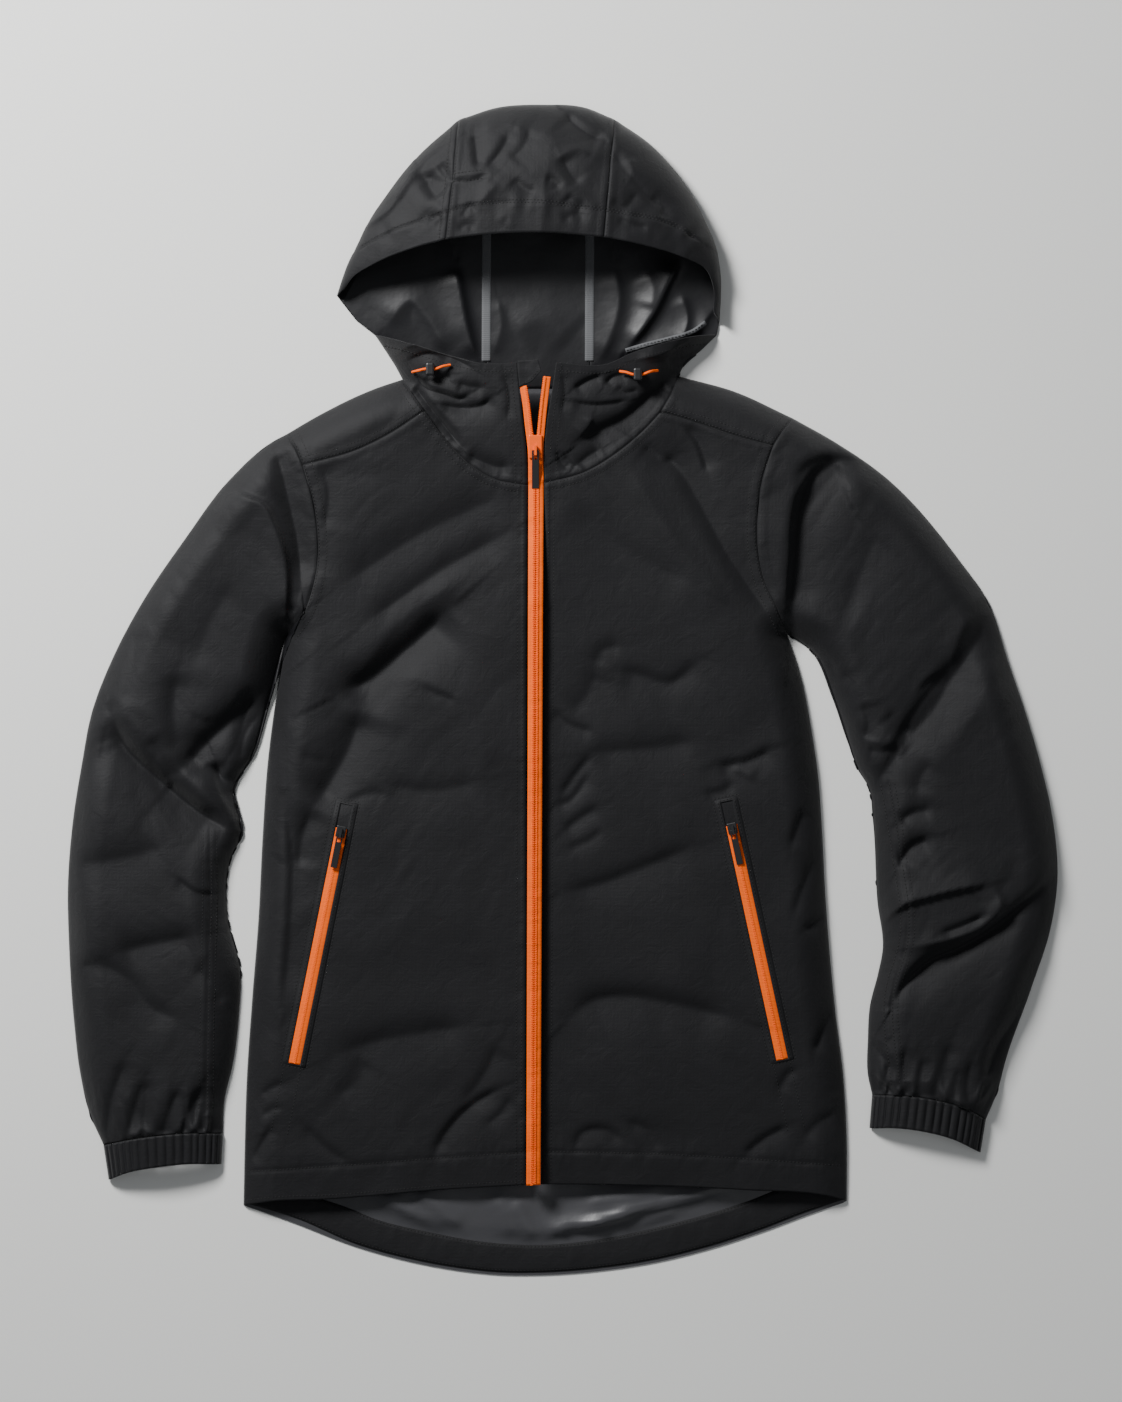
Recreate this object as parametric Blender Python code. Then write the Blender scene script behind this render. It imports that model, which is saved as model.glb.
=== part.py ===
"""Rain shell jacket, laid flat on its back with the front zip up.

Axes: X across (minus X is the wearer's right, on the viewer's left), Y up the
garment towards the hood, Z away from the table. The floor is Z = 0. Tables are in
millimetres, objects in metres.

Every piece of cloth is a thin wall. The lower layer (back, under sleeves, back of the
hood) lies on the table. The upper layer (fronts, yokes, top sleeves, collar) is one
height over the plan, so that pieces meet at their seams, and the hood wraps round
from its raised rim to the table.
"""
import math

import bpy
import numpy as np
from mathutils import Matrix, Vector
from mathutils.bvhtree import BVHTree

MM = 0.001
WALL = 1.2            # cloth wall
TAPE_WALL = 1.0       # tapes, welts and hem bands
GAP = 0.3             # between pieces at a seam
EDGE_Z = 2.8          # upper layer's outer face along the folded edges
TURN = 34.0           # width of the rounding beside a folded edge
FOLD_FADE = 25.0      # folds fade out this near to a folded edge
COLLAR_RISE = 9.0     # how far the collar stands above the chest at its top edge
COLLAR_DEPTH = 110.0  # from the neck seam to the collar's top edge
RIM_Z = 64.0          # hood rim above the table at its middle
CURL = 5.0            # radius of the hood's fold at its outer edge
CORD_D = 2.6          # elastic drawcord
CUFF_RIBS = 17        # gathers on the upper side of a cuff
RIB_DEPTH = 1.3

# Height of the filled cloth above EDGE_Z, by place along the garment: (y, height)
BODY_LIFT = [(-490, 9), (-440, 14), (-300, 19), (-100, 22), (50, 24), (150, 25), (310, 25)]
SLEEVE_LIFT = [(-440, 17), (-380, 21), (-250, 24), (-50, 26), (50, 24), (150, 25), (310, 25)]

# Plan lines of each half, in (x, y). "right" is the wearer's right.
LINES = {
    "right": {
        "hood_edge": [(-152, 295), (-159, 308), (-168, 322), (-178, 337)],
        "shoulder": [(-262, 243), (-233, 260), (-176, 287), (-152, 295)],
        "neck_yoke": [(-152, 295), (-142, 280), (-131, 264)],
        "neck_front": [(-131, 264), (-110, 236), (-86, 212), (-65, 200), (-36, 194)],
        "yoke_seam": [(-246, 213), (-193, 228), (-163, 243), (-131, 264)],
        "armhole_yoke": [(-262, 243), (-253, 229), (-246, 213)],
        "armhole_front": [(-246, 213), (-238, 185), (-233, 155), (-232, 130), (-236, 100),
                          (-245, 74), (-262, 51)],
        "side": [(-262, 51), (-271, 0), (-280, -68), (-285, -140), (-289, -219), (-295, -295),
                 (-300, -370), (-302, -437), (-303, -489)],
        "hem": [(-303, -489), (-276, -485), (-226, -483), (-116, -474), (-34.5, -469)],
        "zip_edge": [(-34.5, -469), (-33, 0), (-32.5, 194)],
        "collar_zip": [(-33, 194), (-34, 225), (-37.5, 255), (-41.5, 290), (-43, 309)],
        "rim": [(-178, 337), (-150, 329), (-108, 316), (-77, 309), (-43, 309)],
        "sleeve_outer": [(-262, 243), (-275, 236), (-316, 200), (-359, 143), (-400, 82),
                         (-426, 33), (-447, -21), (-457, -72), (-465, -123), (-470, -190),
                         (-469, -238), (-464, -316), (-458, -365), (-450, -400), (-436, -432)],
        "sleeve_inner": [(-263.5, 51), (-273, 15), (-283, -25), (-293, -60), (-312, -95),
                         (-304.5, -137), (-315, -160), (-318, -215), (-305.5, -268),
                         (-307, -305), (-313, -355), (-321, -390), (-322.5, -421)],
        "cuff_top": [(-436, -432), (-414, -427), (-381, -422), (-353, -420), (-322.5, -421)],
        "cuff_end": [(-431, -465), (-414, -458), (-384, -452), (-353, -449), (-324, -450)],
        "pocket_zip": [(-209, -131), (-254, -354)],
    },
    "left": {
        "hood_edge": [(110, 298), (116, 310), (131, 322), (146, 337)],
        "shoulder": [(219, 258), (162, 284), (110, 298)],
        "neck_yoke": [(110, 298), (103, 280), (93, 263)],
        "neck_front": [(93, 263), (78, 247), (56, 228), (20, 206), (-16.5, 196)],
        "yoke_seam": [(199, 231), (165, 240), (130, 252), (93, 263)],
        "armhole_yoke": [(219, 258), (208, 245), (199, 231)],
        "armhole_front": [(199, 231), (189, 200), (184, 162), (185, 130), (191, 103),
                          (203, 77), (214, 52)],
        "side": [(214, 52), (226, 15), (237, -41), (243, -83), (246, -124), (250, -200),
                 (259, -304), (267, -370), (270, -430), (270, -485)],
        "hem": [(270, -485), (256, -481), (172, -474), (44, -469), (-20.5, -468.5)],
        "zip_edge": [(-20.5, -468.5), (-18.5, 0), (-17.5, 196)],
        "collar_zip": [(-17, 196), (-17, 225), (-14.5, 255), (-9.5, 285), (-6, 309)],
        "rim": [(146, 337), (128, 335), (100, 329), (62, 317), (45, 309), (-6, 309)],
        "sleeve_outer": [(219, 258), (258, 236), (302, 206), (377, 123), (404, 84),
                         (424, 25), (441, -25), (455, -74), (464, -113), (470, -182),
                         (465, -220), (444, -287), (423, -345), (411, -387), (402, -408)],
        "sleeve_inner": [(215.5, 52), (238, 36), (258, -8), (272, -50), (281, -76), (291, -93),
                         (295, -123), (299, -200), (304, -247), (300, -268), (292, -300),
                         (290, -332), (290, -365), (294, -384)],
        "cuff_top": [(402, -408), (384, -398), (360, -390), (332, -385), (294, -384)],
        "cuff_end": [(397, -439), (371, -426), (341, -418), (312, -415), (291.5, -416)],
        "pocket_zip": [(160, -128), (208, -350)],
    },
}

# Largest folds of the upper layer: line of the fold, half width, depth (a ridge is negative)
FOLDS = {
    "right": [
        ([(-55, 185), (-220, 90)], 18, 2.5),
        ([(-60, 140), (-190, 60)], 14, 2.5),
        ([(-112, 72), (-172, 18), (-200, -45), (-232, -110)], 17, 5.0),
        ([(-215, -345), (-95, -320)], 16, 3.0),
        ([(-60, -380), (-125, -440)], 12, 2.5),
        ([(-272, 225), (-266, 170), (-251, 95)], 13, 7.0),
        ([(-285, 175), (-268, 125), (-266, 65)], 8, -2.5),
        ([(-262, 45), (-300, -5), (-335, -45), (-365, -78)], 14, 7.0),
        ([(-440, -15), (-412, 40), (-385, 92)], 12, 3.5),
        ([(-425, -25), (-412, -60), (-378, -94), (-343, -118), (-315, -132)], 9, 7.0),
        ([(-440, -32), (-415, -78), (-380, -112), (-345, -134), (-312, -142)], 9, -4.0),
        ([(-420, -248), (-350, -242), (-310, -264)], 14, 4.5),
        ([(-462, -268), (-405, -300), (-362, -314)], 15, 4.0),
    ],
    "left": [
        ([(5, 178), (50, 138), (125, 98)], 18, 2.5),
        ([(78, 232), (106, 200), (140, 150), (190, 72)], 15, 4.0),
        ([(52, 18), (130, 12)], 13, 3.0),
        ([(20, -62), (120, -50)], 14, 2.5),
        ([(142, -73), (200, -58)], 10, 2.5),
        ([(0, -192), (60, -178), (120, -150)], 16, 2.5),
        ([(8, -312), (50, -294), (150, -314)], 16, 3.5),
        ([(270, 208), (240, 180), (229, 120), (224, 68)], 15, 8.0),
        ([(228, 190), (217, 130), (214, 75)], 8, -2.5),
        ([(408, 62), (392, 30), (368, -12), (338, -60), (304, -92)], 10, 6.0),
        ([(400, 82), (380, 35), (355, -12), (325, -52), (294, -84)], 9, -4.0),
        ([(315, -168), (345, -122)], 11, 4.0),
        ([(303, -226), (350, -198), (402, -184)], 9, 5.5),
        ([(325, -268), (385, -244), (430, -205), (458, -186)], 14, 6.5),
    ],
}

# Hood, from the wearer's right to left: lines over the rim, the outer edge and, on the
# table, the edge that is sewn to the neck or lies free
HOOD = {
    "right": {
        "rim": [(-207, 380), (-198, 391), (-179, 402), (-145, 415), (-110, 424)],
        "crown": [(-214, 374), (-202, 406), (-169, 465), (-135, 508), (-98, 541)],
        "neck": [(-196, 351), (-178, 337), (-168, 322), (-159, 308), (-152, 295), (-72, 286)],
    },
    "centre": {
        "rim": [(-110, 424), (-77, 428), (-19, 430), (39, 426)],
        "crown": [(-98, 541), (-59, 553), (-19, 555.5), (20, 553), (50, 541)],
        "neck": [(-72, 286), (26, 286)],
    },
    "left": {
        "rim": [(39, 426), (75, 419), (114, 408), (136, 397), (143, 380), (143, 358)],
        "crown": [(50, 541), (83, 518), (116, 480), (135, 446), (146, 418), (150, 376), (149, 350)],
        "neck": [(26, 286), (110, 298), (116, 310), (131, 322), (146.5, 337)],
    },
}
HOOD_COLUMNS = {"right": 9, "centre": 8, "left": 9}
# Rim height across the hood: (x, height over the table)
RIM_HEIGHT = [(-214, 9), (-200, 20), (-170, 38), (-110, 57), (-20, RIM_Z), (60, 58), (115, 42),
              (140, 26), (146, 14)]

TAIL = [(-303, -489.5), (-256, -506), (-196, -529), (-136, -545), (-96, -552), (-56, -555.8),
        (-20, -555.8), (34, -552), (87, -544), (140, -531), (192, -514), (235, -498), (270, -486)]
TAIL_BAND = [(-245, -480), (-206, -491), (-176, -503), (-126, -515), (-76, -524), (-20, -527),
             (34, -522), (87, -511), (130, -500), (172, -487), (222, -470)]
TAIL_BAND_EDGE = [(-252, -502), (-196, -526), (-136, -542), (-96, -549), (-56, -553), (-20, -553),
                  (34, -549), (87, -541), (140, -528), (192, -511), (228, -497)]
BACK_NECK = [(-152, 295), (-72, 286), (26, 286), (110, 298)]
HOOD_TAPES = {"right": [(-72.5, 312), (-72, 455)], "left": [(25.5, 312), (26, 455)]}
TAPE_WIDTH = 8.5

# Samples along the shared seams, so that neighbours have the same facets
YOKE_ROWS, ARMHOLE_ROWS, SIDE_ROWS = 2, 12, 11
YOKE_COLUMNS, NECK_COLUMNS = 5, 9
COLLAR_ROWS = 5
SLEEVE_ROWS = 20
HEM_CROWDING = 1.6    # above 1, the hem's samples crowd towards the side

# Centre zip: middle lines of its two halves, from the hem to the top of the open stretch
ZIP_WIDTH = 6.6
ZIP_WALL = 1.6
ZIP_OPEN = {"right": [(-29.6, 228), (-32.2, 250), (-34.4, 270), (-37, 287)],
            "left": [(-21.4, 228), (-19.6, 250), (-17.6, 270), (-14.4, 296)]}
CHIN_FLAP = [(-42, 311), (-23, 312), (-20, 301), (-29, 291), (-41, 286)]

POCKET_ZIP_WIDTH = 12.0
WELT_WIDTH = 5.0
WELT_LENGTH = 26.0    # the welt frame runs this far past the zip's top
CORDS = {
    "right": {"lock": (-125, 303), "ends": [(-142, 301), (-106, 307)]},
    "left": {"lock": (71, 298), "ends": [(54, 301), (90, 302)]},
}

COLOURS = {
    # name: (colour, roughness, metallic)
    "shell": ((0.016, 0.017, 0.019, 1), 0.62, 0.0),
    "coated_inside": ((0.075, 0.077, 0.08, 1), 0.35, 0.0),
    "seam_tape": ((0.19, 0.19, 0.19, 1), 0.5, 0.0),
    "orange_tape": ((1.0, 0.13, 0.006, 1), 0.55, 0.0),
    "orange_metal": ((1.0, 0.15, 0.01, 1), 0.35, 0.0),
    "black_plastic": ((0.012, 0.012, 0.013, 1), 0.42, 0.0),
    "elastic_cord": ((1.0, 0.14, 0.01, 1), 0.6, 0.0),
}


def material(name):
    """The named Principled material, made once."""
    found = bpy.data.materials.get(name)
    if found:
        return found
    colour, roughness, metallic = COLOURS[name]
    made = bpy.data.materials.new(name)
    made.use_nodes = True
    shader = made.node_tree.nodes["Principled BSDF"]
    shader.inputs["Base Color"].default_value = colour
    shader.inputs["Roughness"].default_value = roughness
    shader.inputs["Metallic"].default_value = metallic
    made.diffuse_color = colour
    return made


def curve(points, spacing):
    """Smooth line through the points, cut by length at the given fractions, or into that
    many equal parts. Each span is a cubic with the tangents of a parabola through three
    points."""
    knots = np.array(points, float)
    chord = np.r_[0, np.cumsum(np.linalg.norm(np.diff(knots, axis=0), axis=1))]
    if len(knots) > 2:
        tangent = np.gradient(knots, chord, axis=0)
    else:
        tangent = np.tile((knots[1] - knots[0]) / chord[1], (2, 1))
    along = np.linspace(0, chord[-1], 24 * len(knots) + 1)
    span = np.clip(np.searchsorted(chord, along, side="right") - 1, 0, len(knots) - 2)
    width = (chord[span + 1] - chord[span])[:, None]
    t = (along - chord[span])[:, None] / width
    line = ((2 * t**3 - 3 * t**2 + 1) * knots[span] + (t**3 - 2 * t**2 + t) * width * tangent[span]
            + (3 * t**2 - 2 * t**3) * knots[span + 1] + (t**3 - t**2) * width * tangent[span + 1])
    run = np.r_[0, np.cumsum(np.linalg.norm(np.diff(line, axis=0), axis=1))]
    share = np.linspace(0, 1, spacing + 1) if np.isscalar(spacing) else np.array(spacing)
    return np.column_stack([np.interp(share * run[-1], run, line[:, k])
                            for k in range(line.shape[1])])


def path(points, spacing):
    """As curve, but with straight stretches between the points."""
    knots = np.array(points, float)
    run = np.r_[0, np.cumsum(np.linalg.norm(np.diff(knots, axis=0), axis=1))]
    share = np.linspace(0, 1, spacing + 1) if np.isscalar(spacing) else np.array(spacing)
    return np.column_stack([np.interp(share * run[-1], run, knots[:, k])
                            for k in range(knots.shape[1])])


def join(*lines):
    """End-to-end lines as one, without the doubled points."""
    return np.vstack([lines[0]] + [line[1:] for line in lines[1:]])


def distance(x, y, line):
    """Shortest plan distance from each (x, y) to a polyline."""
    line = np.asarray(line, float)
    start, run = line[:-1], np.diff(line, axis=0)
    point = np.stack([x, y], axis=-1)[..., None, :] - start
    share = np.clip((point * run).sum(-1) / (run**2).sum(-1), 0, 1)
    return np.linalg.norm(point - share[..., None] * run, axis=-1).min(-1)


def edge_lines(side):
    """The folded edges of one half, where the upper layer comes down to the lower."""
    lines = LINES[side]
    return [curve(lines[name], 40) for name in
            ("hood_edge", "shoulder", "sleeve_outer", "sleeve_inner", "side")]


EDGES = {side: edge_lines(side) for side in LINES}
NECK = {side: join(path(LINES[side]["neck_yoke"], 8), curve(LINES[side]["neck_front"], 24))
        for side in LINES}


def relief(x, y, side):
    """Sum of the folds: each is a bell-shaped trough along its line."""
    total = np.zeros_like(x)
    for line, width, depth in FOLDS[side]:
        near = distance(x, y, curve(line, 16) if len(line) > 2 else line)
        total -= depth * np.exp(-(near / width)**2)
    return total


def upper_height(x, y, side, lift=BODY_LIFT, collar=False):
    """Height of the upper layer's outer face: a parabola beside the folded edges, the lift
    table over the rest, the folds, and on the collar a slow rise from the neck seam."""
    near = np.min([distance(x, y, line) for line in EDGES[side]], axis=0)
    rows = np.array(lift, float)
    filled = np.interp(y, rows[:, 0], rows[:, 1])
    height = EDGE_Z + filled * (1 - (1 - np.clip(near / TURN, 0, 1))**2)
    height = height + relief(x, y, side) * np.clip(near / FOLD_FADE, 0, 1)
    if collar:
        up = np.clip(distance(x, y, NECK[side]) / COLLAR_DEPTH, 0, 1)
        height = height + COLLAR_RISE * up * np.clip(near / TURN, 0, 1)
    return np.maximum(height, EDGE_Z)


def coons(bottom, top, outer, inner):
    """Fills four border lines: straight blends between each pair, less the corners' blend.
    Bottom and top run from outer to inner, the other two from bottom to top."""
    def share(one, other):
        runs = [np.r_[0, np.cumsum(np.linalg.norm(np.diff(line, axis=0), axis=1))]
                for line in (one, other)]
        return (runs[0] / runs[0][-1] + runs[1] / runs[1][-1]) / 2
    u = share(bottom, top)[None, :, None]
    v = share(outer, inner)[:, None, None]
    corners = ((1 - u) * (1 - v) * bottom[0] + u * (1 - v) * bottom[-1]
               + (1 - u) * v * top[0] + u * v * top[-1])
    return ((1 - v) * bottom[None] + v * top[None] + (1 - u) * outer[:, None]
            + u * inner[:, None] - corners)


def trimmed(plan, by=GAP / 2):
    """The plan with each border moved in, towards the next row or column."""
    plan = plan.copy()
    for edge, after in ((0, 1), (-1, -2)):
        for view in (plan, plan.transpose(1, 0, 2)):
            step = view[after] - view[edge]
            view[edge] += step * (by / np.linalg.norm(step, axis=-1, keepdims=True))
    return plan


def add_object(name, vertices, faces, slot, smooth=True):
    """A mesh object from points in millimetres."""
    mesh = bpy.data.meshes.new(name)
    mesh.from_pydata((np.asarray(vertices, float) * MM).tolist(), [], faces)
    mesh.validate()
    if smooth:
        mesh.shade_smooth()
    mesh.materials.append(material(slot))
    made = bpy.data.objects.new(name, mesh)
    bpy.context.scene.collection.objects.link(made)
    return made


def sheet(name, grid, slot="shell", wall=WALL, ring=False, flip=None):
    """Cloth wall from a grid of points on its outer face, rows by columns. A ring closes
    its columns. The outer face looks up unless flip says otherwise."""
    rows, columns = grid.shape[:2]
    last = columns if ring else columns - 1
    faces = []
    for row in range(rows - 1):
        for column in range(last):
            after = (column + 1) % columns
            faces.append((row * columns + column, row * columns + after,
                          (row + 1) * columns + after, (row + 1) * columns + column))
    if flip is None:
        flip = np.cross(grid[0, 1] - grid[0, 0], grid[1, 0] - grid[0, 0])[2] < 0
    if flip:
        faces = [face[::-1] for face in faces]
    made = add_object(name, grid.reshape(-1, 3), faces, slot)
    thick = made.modifiers.new("wall", "SOLIDIFY")
    thick.thickness = wall * MM
    thick.offset = -1
    thick.use_quality_normals = True
    return made


def walled(name, outer, inner, slot="shell"):
    """Closed wall between an outer and an inner grid of points."""
    rows, columns = outer.shape[:2]
    count = rows * columns
    index = np.arange(count).reshape(rows, columns)
    quads = np.stack([index[:-1, :-1], index[:-1, 1:], index[1:, 1:], index[1:, :-1]], axis=-1)
    quads = quads.reshape(-1, 4)
    ring = np.r_[index[0], index[1:, -1], index[-1, -2::-1], index[-2:0:-1, 0]]
    after = np.roll(ring, -1)
    rim = np.stack([ring, ring + count, after + count, after], axis=-1)
    faces = np.vstack([quads, quads[:, ::-1] + count, rim])
    middle = rows // 2, columns // 2
    along = outer[middle[0] + 1, middle[1]] - outer[middle]
    across = outer[middle[0], middle[1] + 1] - outer[middle]
    if np.dot(np.cross(across, along), outer[middle] - inner[middle]) < 0:
        faces = faces[:, ::-1]
    return add_object(name, np.vstack([outer.reshape(-1, 3), inner.reshape(-1, 3)]),
                      faces.tolist(), slot)


def upper_sheet(name, plan, side, lift=BODY_LIFT, collar=False):
    """Piece of the upper layer. Its inner face lies one wall along the normal of the shared
    height, taken just inside the border, so that neighbours' walls are parallel at a seam."""
    plan = trimmed(plan)
    x, y = np.moveaxis(trimmed(plan, 1.0), -1, 0)
    step = 0.5
    slopes = [(upper_height(x + dx, y + dy, side, lift, collar)
               - upper_height(x - dx, y - dy, side, lift, collar)) / (2 * step)
              for dx, dy in ((step, 0), (0, step))]
    normal = np.stack([-slopes[0], -slopes[1], np.ones_like(x)], axis=-1)
    normal /= np.linalg.norm(normal, axis=-1, keepdims=True)
    outer = lifted(plan, upper_height(plan[..., 0], plan[..., 1], side, lift, collar))
    return walled(name, outer, outer - WALL * normal)


def plate(name, outline, low, high, slot="shell"):
    """Flat cloth with the given outline, anticlockwise from above, from low to high."""
    count = len(outline)
    vertices = [(x, y, low) for x, y in outline] + [(x, y, high) for x, y in outline]
    faces = [tuple(range(count))[::-1], tuple(range(count, 2 * count))]
    faces += [(i, (i + 1) % count, count + (i + 1) % count, count + i) for i in range(count)]
    return add_object(name, vertices, faces, slot, smooth=False)


def lifted(plan, height):
    """Plan points with their heights as a third coordinate."""
    return np.concatenate([plan, np.asarray(height)[..., None]], axis=-1)


class Seams:
    """Shared border lines of one half, each sampled once."""

    def __init__(self, side):
        lines = LINES[side]
        self.armhole_yoke = path(lines["armhole_yoke"], YOKE_ROWS)
        self.armhole_front = curve(lines["armhole_front"], ARMHOLE_ROWS)
        self.yoke_seam = curve(lines["yoke_seam"], YOKE_COLUMNS)
        self.neck_yoke = path(lines["neck_yoke"], YOKE_ROWS)
        self.neck_front = curve(lines["neck_front"], NECK_COLUMNS)
        self.shoulder = curve(lines["shoulder"], YOKE_COLUMNS)
        self.side = curve(lines["side"], SIDE_ROWS)
        columns = YOKE_COLUMNS + NECK_COLUMNS
        self.hem = curve(lines["hem"], np.linspace(0, 1, columns + 1)**HEM_CROWDING)
        self.sleeve_outer = curve(lines["sleeve_outer"], SLEEVE_ROWS)
        self.sleeve_inner = curve(lines["sleeve_inner"], SLEEVE_ROWS)
        self.hood_edge = curve(lines["hood_edge"], COLLAR_ROWS)
        # A cosine spacing puts more columns beside the cuff's two edges
        turn = np.linspace(0, math.pi, YOKE_ROWS + ARMHOLE_ROWS + 1)
        self.cuff_top = curve(lines["cuff_top"], (1 - np.cos(turn)) / 2)


def front(side, seams):
    """Front panel, from the hem to the yoke and neck seams, with its zip edge inside."""
    rows = SIDE_ROWS + ARMHOLE_ROWS
    outer = join(seams.side[::-1], seams.armhole_front[::-1])
    inner = path(LINES[side]["zip_edge"], rows)
    top = join(seams.yoke_seam, seams.neck_front)
    top[-1] = inner[-1]
    return upper_sheet(f"front_{side}", coons(seams.hem, top, outer, inner), side)


def yoke(side, seams):
    """Shoulder yoke between the yoke seam and the shoulder's folded edge."""
    plan = coons(seams.yoke_seam, seams.shoulder, seams.armhole_yoke[::-1], seams.neck_yoke[::-1])
    return upper_sheet(f"yoke_{side}", plan, side)


def collar(side, seams):
    """Collar and lower hood front, from the neck seam to the opening's lower rim."""
    bottom = join(seams.neck_yoke, seams.neck_front)
    inner = curve(LINES[side]["collar_zip"], COLLAR_ROWS)
    bottom[-1] = inner[0]
    top = curve(LINES[side]["rim"], len(bottom) - 1)
    top[-1] = inner[-1]
    plan = coons(bottom, top, seams.hood_edge, inner)
    return upper_sheet(f"collar_{side}", plan, side, collar=True)


def top_sleeve(side, seams):
    """Upper half of the sleeve, from the armhole to the cuff."""
    top = join(seams.armhole_yoke, seams.armhole_front)
    inner = seams.sleeve_inner[::-1].copy()
    top[-1] = inner[-1]
    plan = coons(seams.cuff_top, top, seams.sleeve_outer[::-1], inner)
    return upper_sheet(f"sleeve_top_{side}", plan, side, SLEEVE_LIFT)


def under_sleeve(side, seams):
    """Lower half of the sleeve, flat on the table."""
    top = join(seams.armhole_yoke, seams.armhole_front)
    outer = seams.sleeve_outer[::-1]
    inner = seams.sleeve_inner[::-1].copy()
    cuff_line = path(LINES[side]["cuff_top"], len(top) - 1)
    top[-1] = inner[-1]
    plan = trimmed(coons(cuff_line, top, outer, inner))
    ring = np.vstack([plan[0], plan[1:, -1], plan[-1, -2::-1], plan[-2:0:-1, 0]])
    if side == "left":
        ring = ring[::-1]
    return plate(f"sleeve_under_{side}", ring, 0, WALL)


def back_panel(seams):
    """Whole back, on the table, with its dropped tail. Its border keeps the seam gap to the
    under sleeves and the hood by being drawn in towards the middle."""
    half = {side: join(path(LINES[side]["armhole_yoke"], YOKE_ROWS), seams[side].armhole_front,
                       seams[side].side) for side in seams}
    right, left = half["right"], half["left"]
    outline = join(left[::-1], seams["left"].shoulder, np.array(BACK_NECK[::-1], float),
                   seams["right"].shoulder[::-1], right, curve(TAIL, 24))[:-1]
    ahead = np.roll(outline, -1, axis=0) - np.roll(outline, 1, axis=0)
    inward = np.column_stack([-ahead[:, 1], ahead[:, 0]])
    inward /= np.linalg.norm(inward, axis=1, keepdims=True)
    return plate("back_panel", outline + GAP * inward, 0, WALL, "coated_inside")


def back_hem():
    """Black band stitched along the tail, on the inside of the back."""
    plan = np.stack([curve(TAIL_BAND_EDGE, 20), curve(TAIL_BAND, 20)])
    height = np.full(plan.shape[:2], WALL + GAP + TAPE_WALL)
    return sheet("back_hem", lifted(plan, height), wall=TAPE_WALL)


def cuff(side, seams):
    """Elasticated cuff: a flattened ring with gathers over its upper side and a plain
    underside on the table. Heights follow an ellipse across the cuff."""
    per_rib = 4
    lines = LINES[side]
    share = np.linspace(0, 1, per_rib * CUFF_RIBS + 1)
    across = (1 - np.cos(share * math.pi)) / 2 * 0.5 + share * 0.5
    rib = RIB_DEPTH * np.cos(share * CUFF_RIBS * 2 * math.pi)
    rows = []
    for name, tall in (("cuff_end", 21.0), ("cuff_top", 22.5)):
        line = curve(lines[name], across)
        arch = np.sqrt(np.clip(1 - (2 * across - 1)**2, 0, 1))
        height = EDGE_Z + (tall - EDGE_Z) * arch + rib * np.clip(arch * 3, 0, 1)
        top = lifted(line, height)
        under = lifted(curve(lines[name], np.linspace(0.97, 0.03, 9)), np.zeros(9))
        rows.append(np.vstack([top, under]))
    grid = np.array(rows)
    shift = grid[0] - grid[1]
    shift /= np.linalg.norm(shift[:, :2], axis=1, keepdims=True)
    shift[:, 2] = 0
    grid[1] += shift * 1.2
    return sheet(f"cuff_{side}", grid, ring=True, flip=side == "left")


def hood():
    """Hood in three panels that share one surface: from the raised rim over the crown in a
    quarter ellipse, round the outer edge, and back along the table to the neck."""
    order = ("right", "centre", "left")
    rim = join(*[curve(HOOD[side]["rim"], HOOD_COLUMNS[side]) for side in order])
    crown = join(*[curve(HOOD[side]["crown"], HOOD_COLUMNS[side]) for side in order])
    neck = join(*[path(HOOD[side]["neck"], HOOD_COLUMNS[side]) for side in order])
    rise = np.array(RIM_HEIGHT, float)
    rim_z = np.interp(rim[:, 0], rise[:, 0], rise[:, 1])
    length = np.linalg.norm(neck - crown, axis=1, keepdims=True)
    back = (neck - crown) / length
    neck = neck - back * GAP / 2
    length = length - GAP / 2
    rows = [(rim + (crown - rim) * math.sin(angle), CURL + (rim_z - CURL) * math.cos(angle))
            for angle in np.radians([0, 20, 38, 54, 68, 80, 90])]
    rows += [(crown + back * CURL * 0.8 * math.sin(angle), CURL * (1 - math.sin(angle)))
             for angle in np.radians([45, 90])]
    rows += [(crown + back * (CURL + (length - CURL) * share), 0) for share in (0.35, 1.0)]
    outer = np.array([lifted(plan, np.zeros(len(plan)) + height) for plan, height in rows])
    normal = np.cross(np.gradient(outer, axis=1), np.gradient(outer, axis=0))
    normal /= np.linalg.norm(normal, axis=-1, keepdims=True)
    normal[-2:] = (0, 0, -1)
    if normal[0, len(rim) // 2, 2] < 0:
        normal[:-2] *= -1
    start = 0
    for side in order:
        columns = slice(start, start + HOOD_COLUMNS[side] + 1)
        part = outer[:, columns].copy()
        for edge, after in ((0, 1), (-1, -2)):
            step = part[:, after] - part[:, edge]
            part[:, edge] += step * (GAP / 2 / np.linalg.norm(step, axis=-1, keepdims=True))
        walled(f"hood_{side}", part, part - WALL * normal[:, columns])
        start += HOOD_COLUMNS[side]


def strip(line, width, height, spacing):
    """Grid for a tape of constant width along a line: height(x, y) gives its outer face."""
    middle = curve(line, spacing)
    ahead = np.gradient(middle, axis=0)
    beside = np.column_stack([ahead[:, 1], -ahead[:, 0]])
    beside /= np.linalg.norm(beside, axis=1, keepdims=True)
    plan = np.stack([middle - beside * width / 2, middle + beside * width / 2], axis=1)
    return lifted(plan, height(plan[..., 0], plan[..., 1]))


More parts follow.
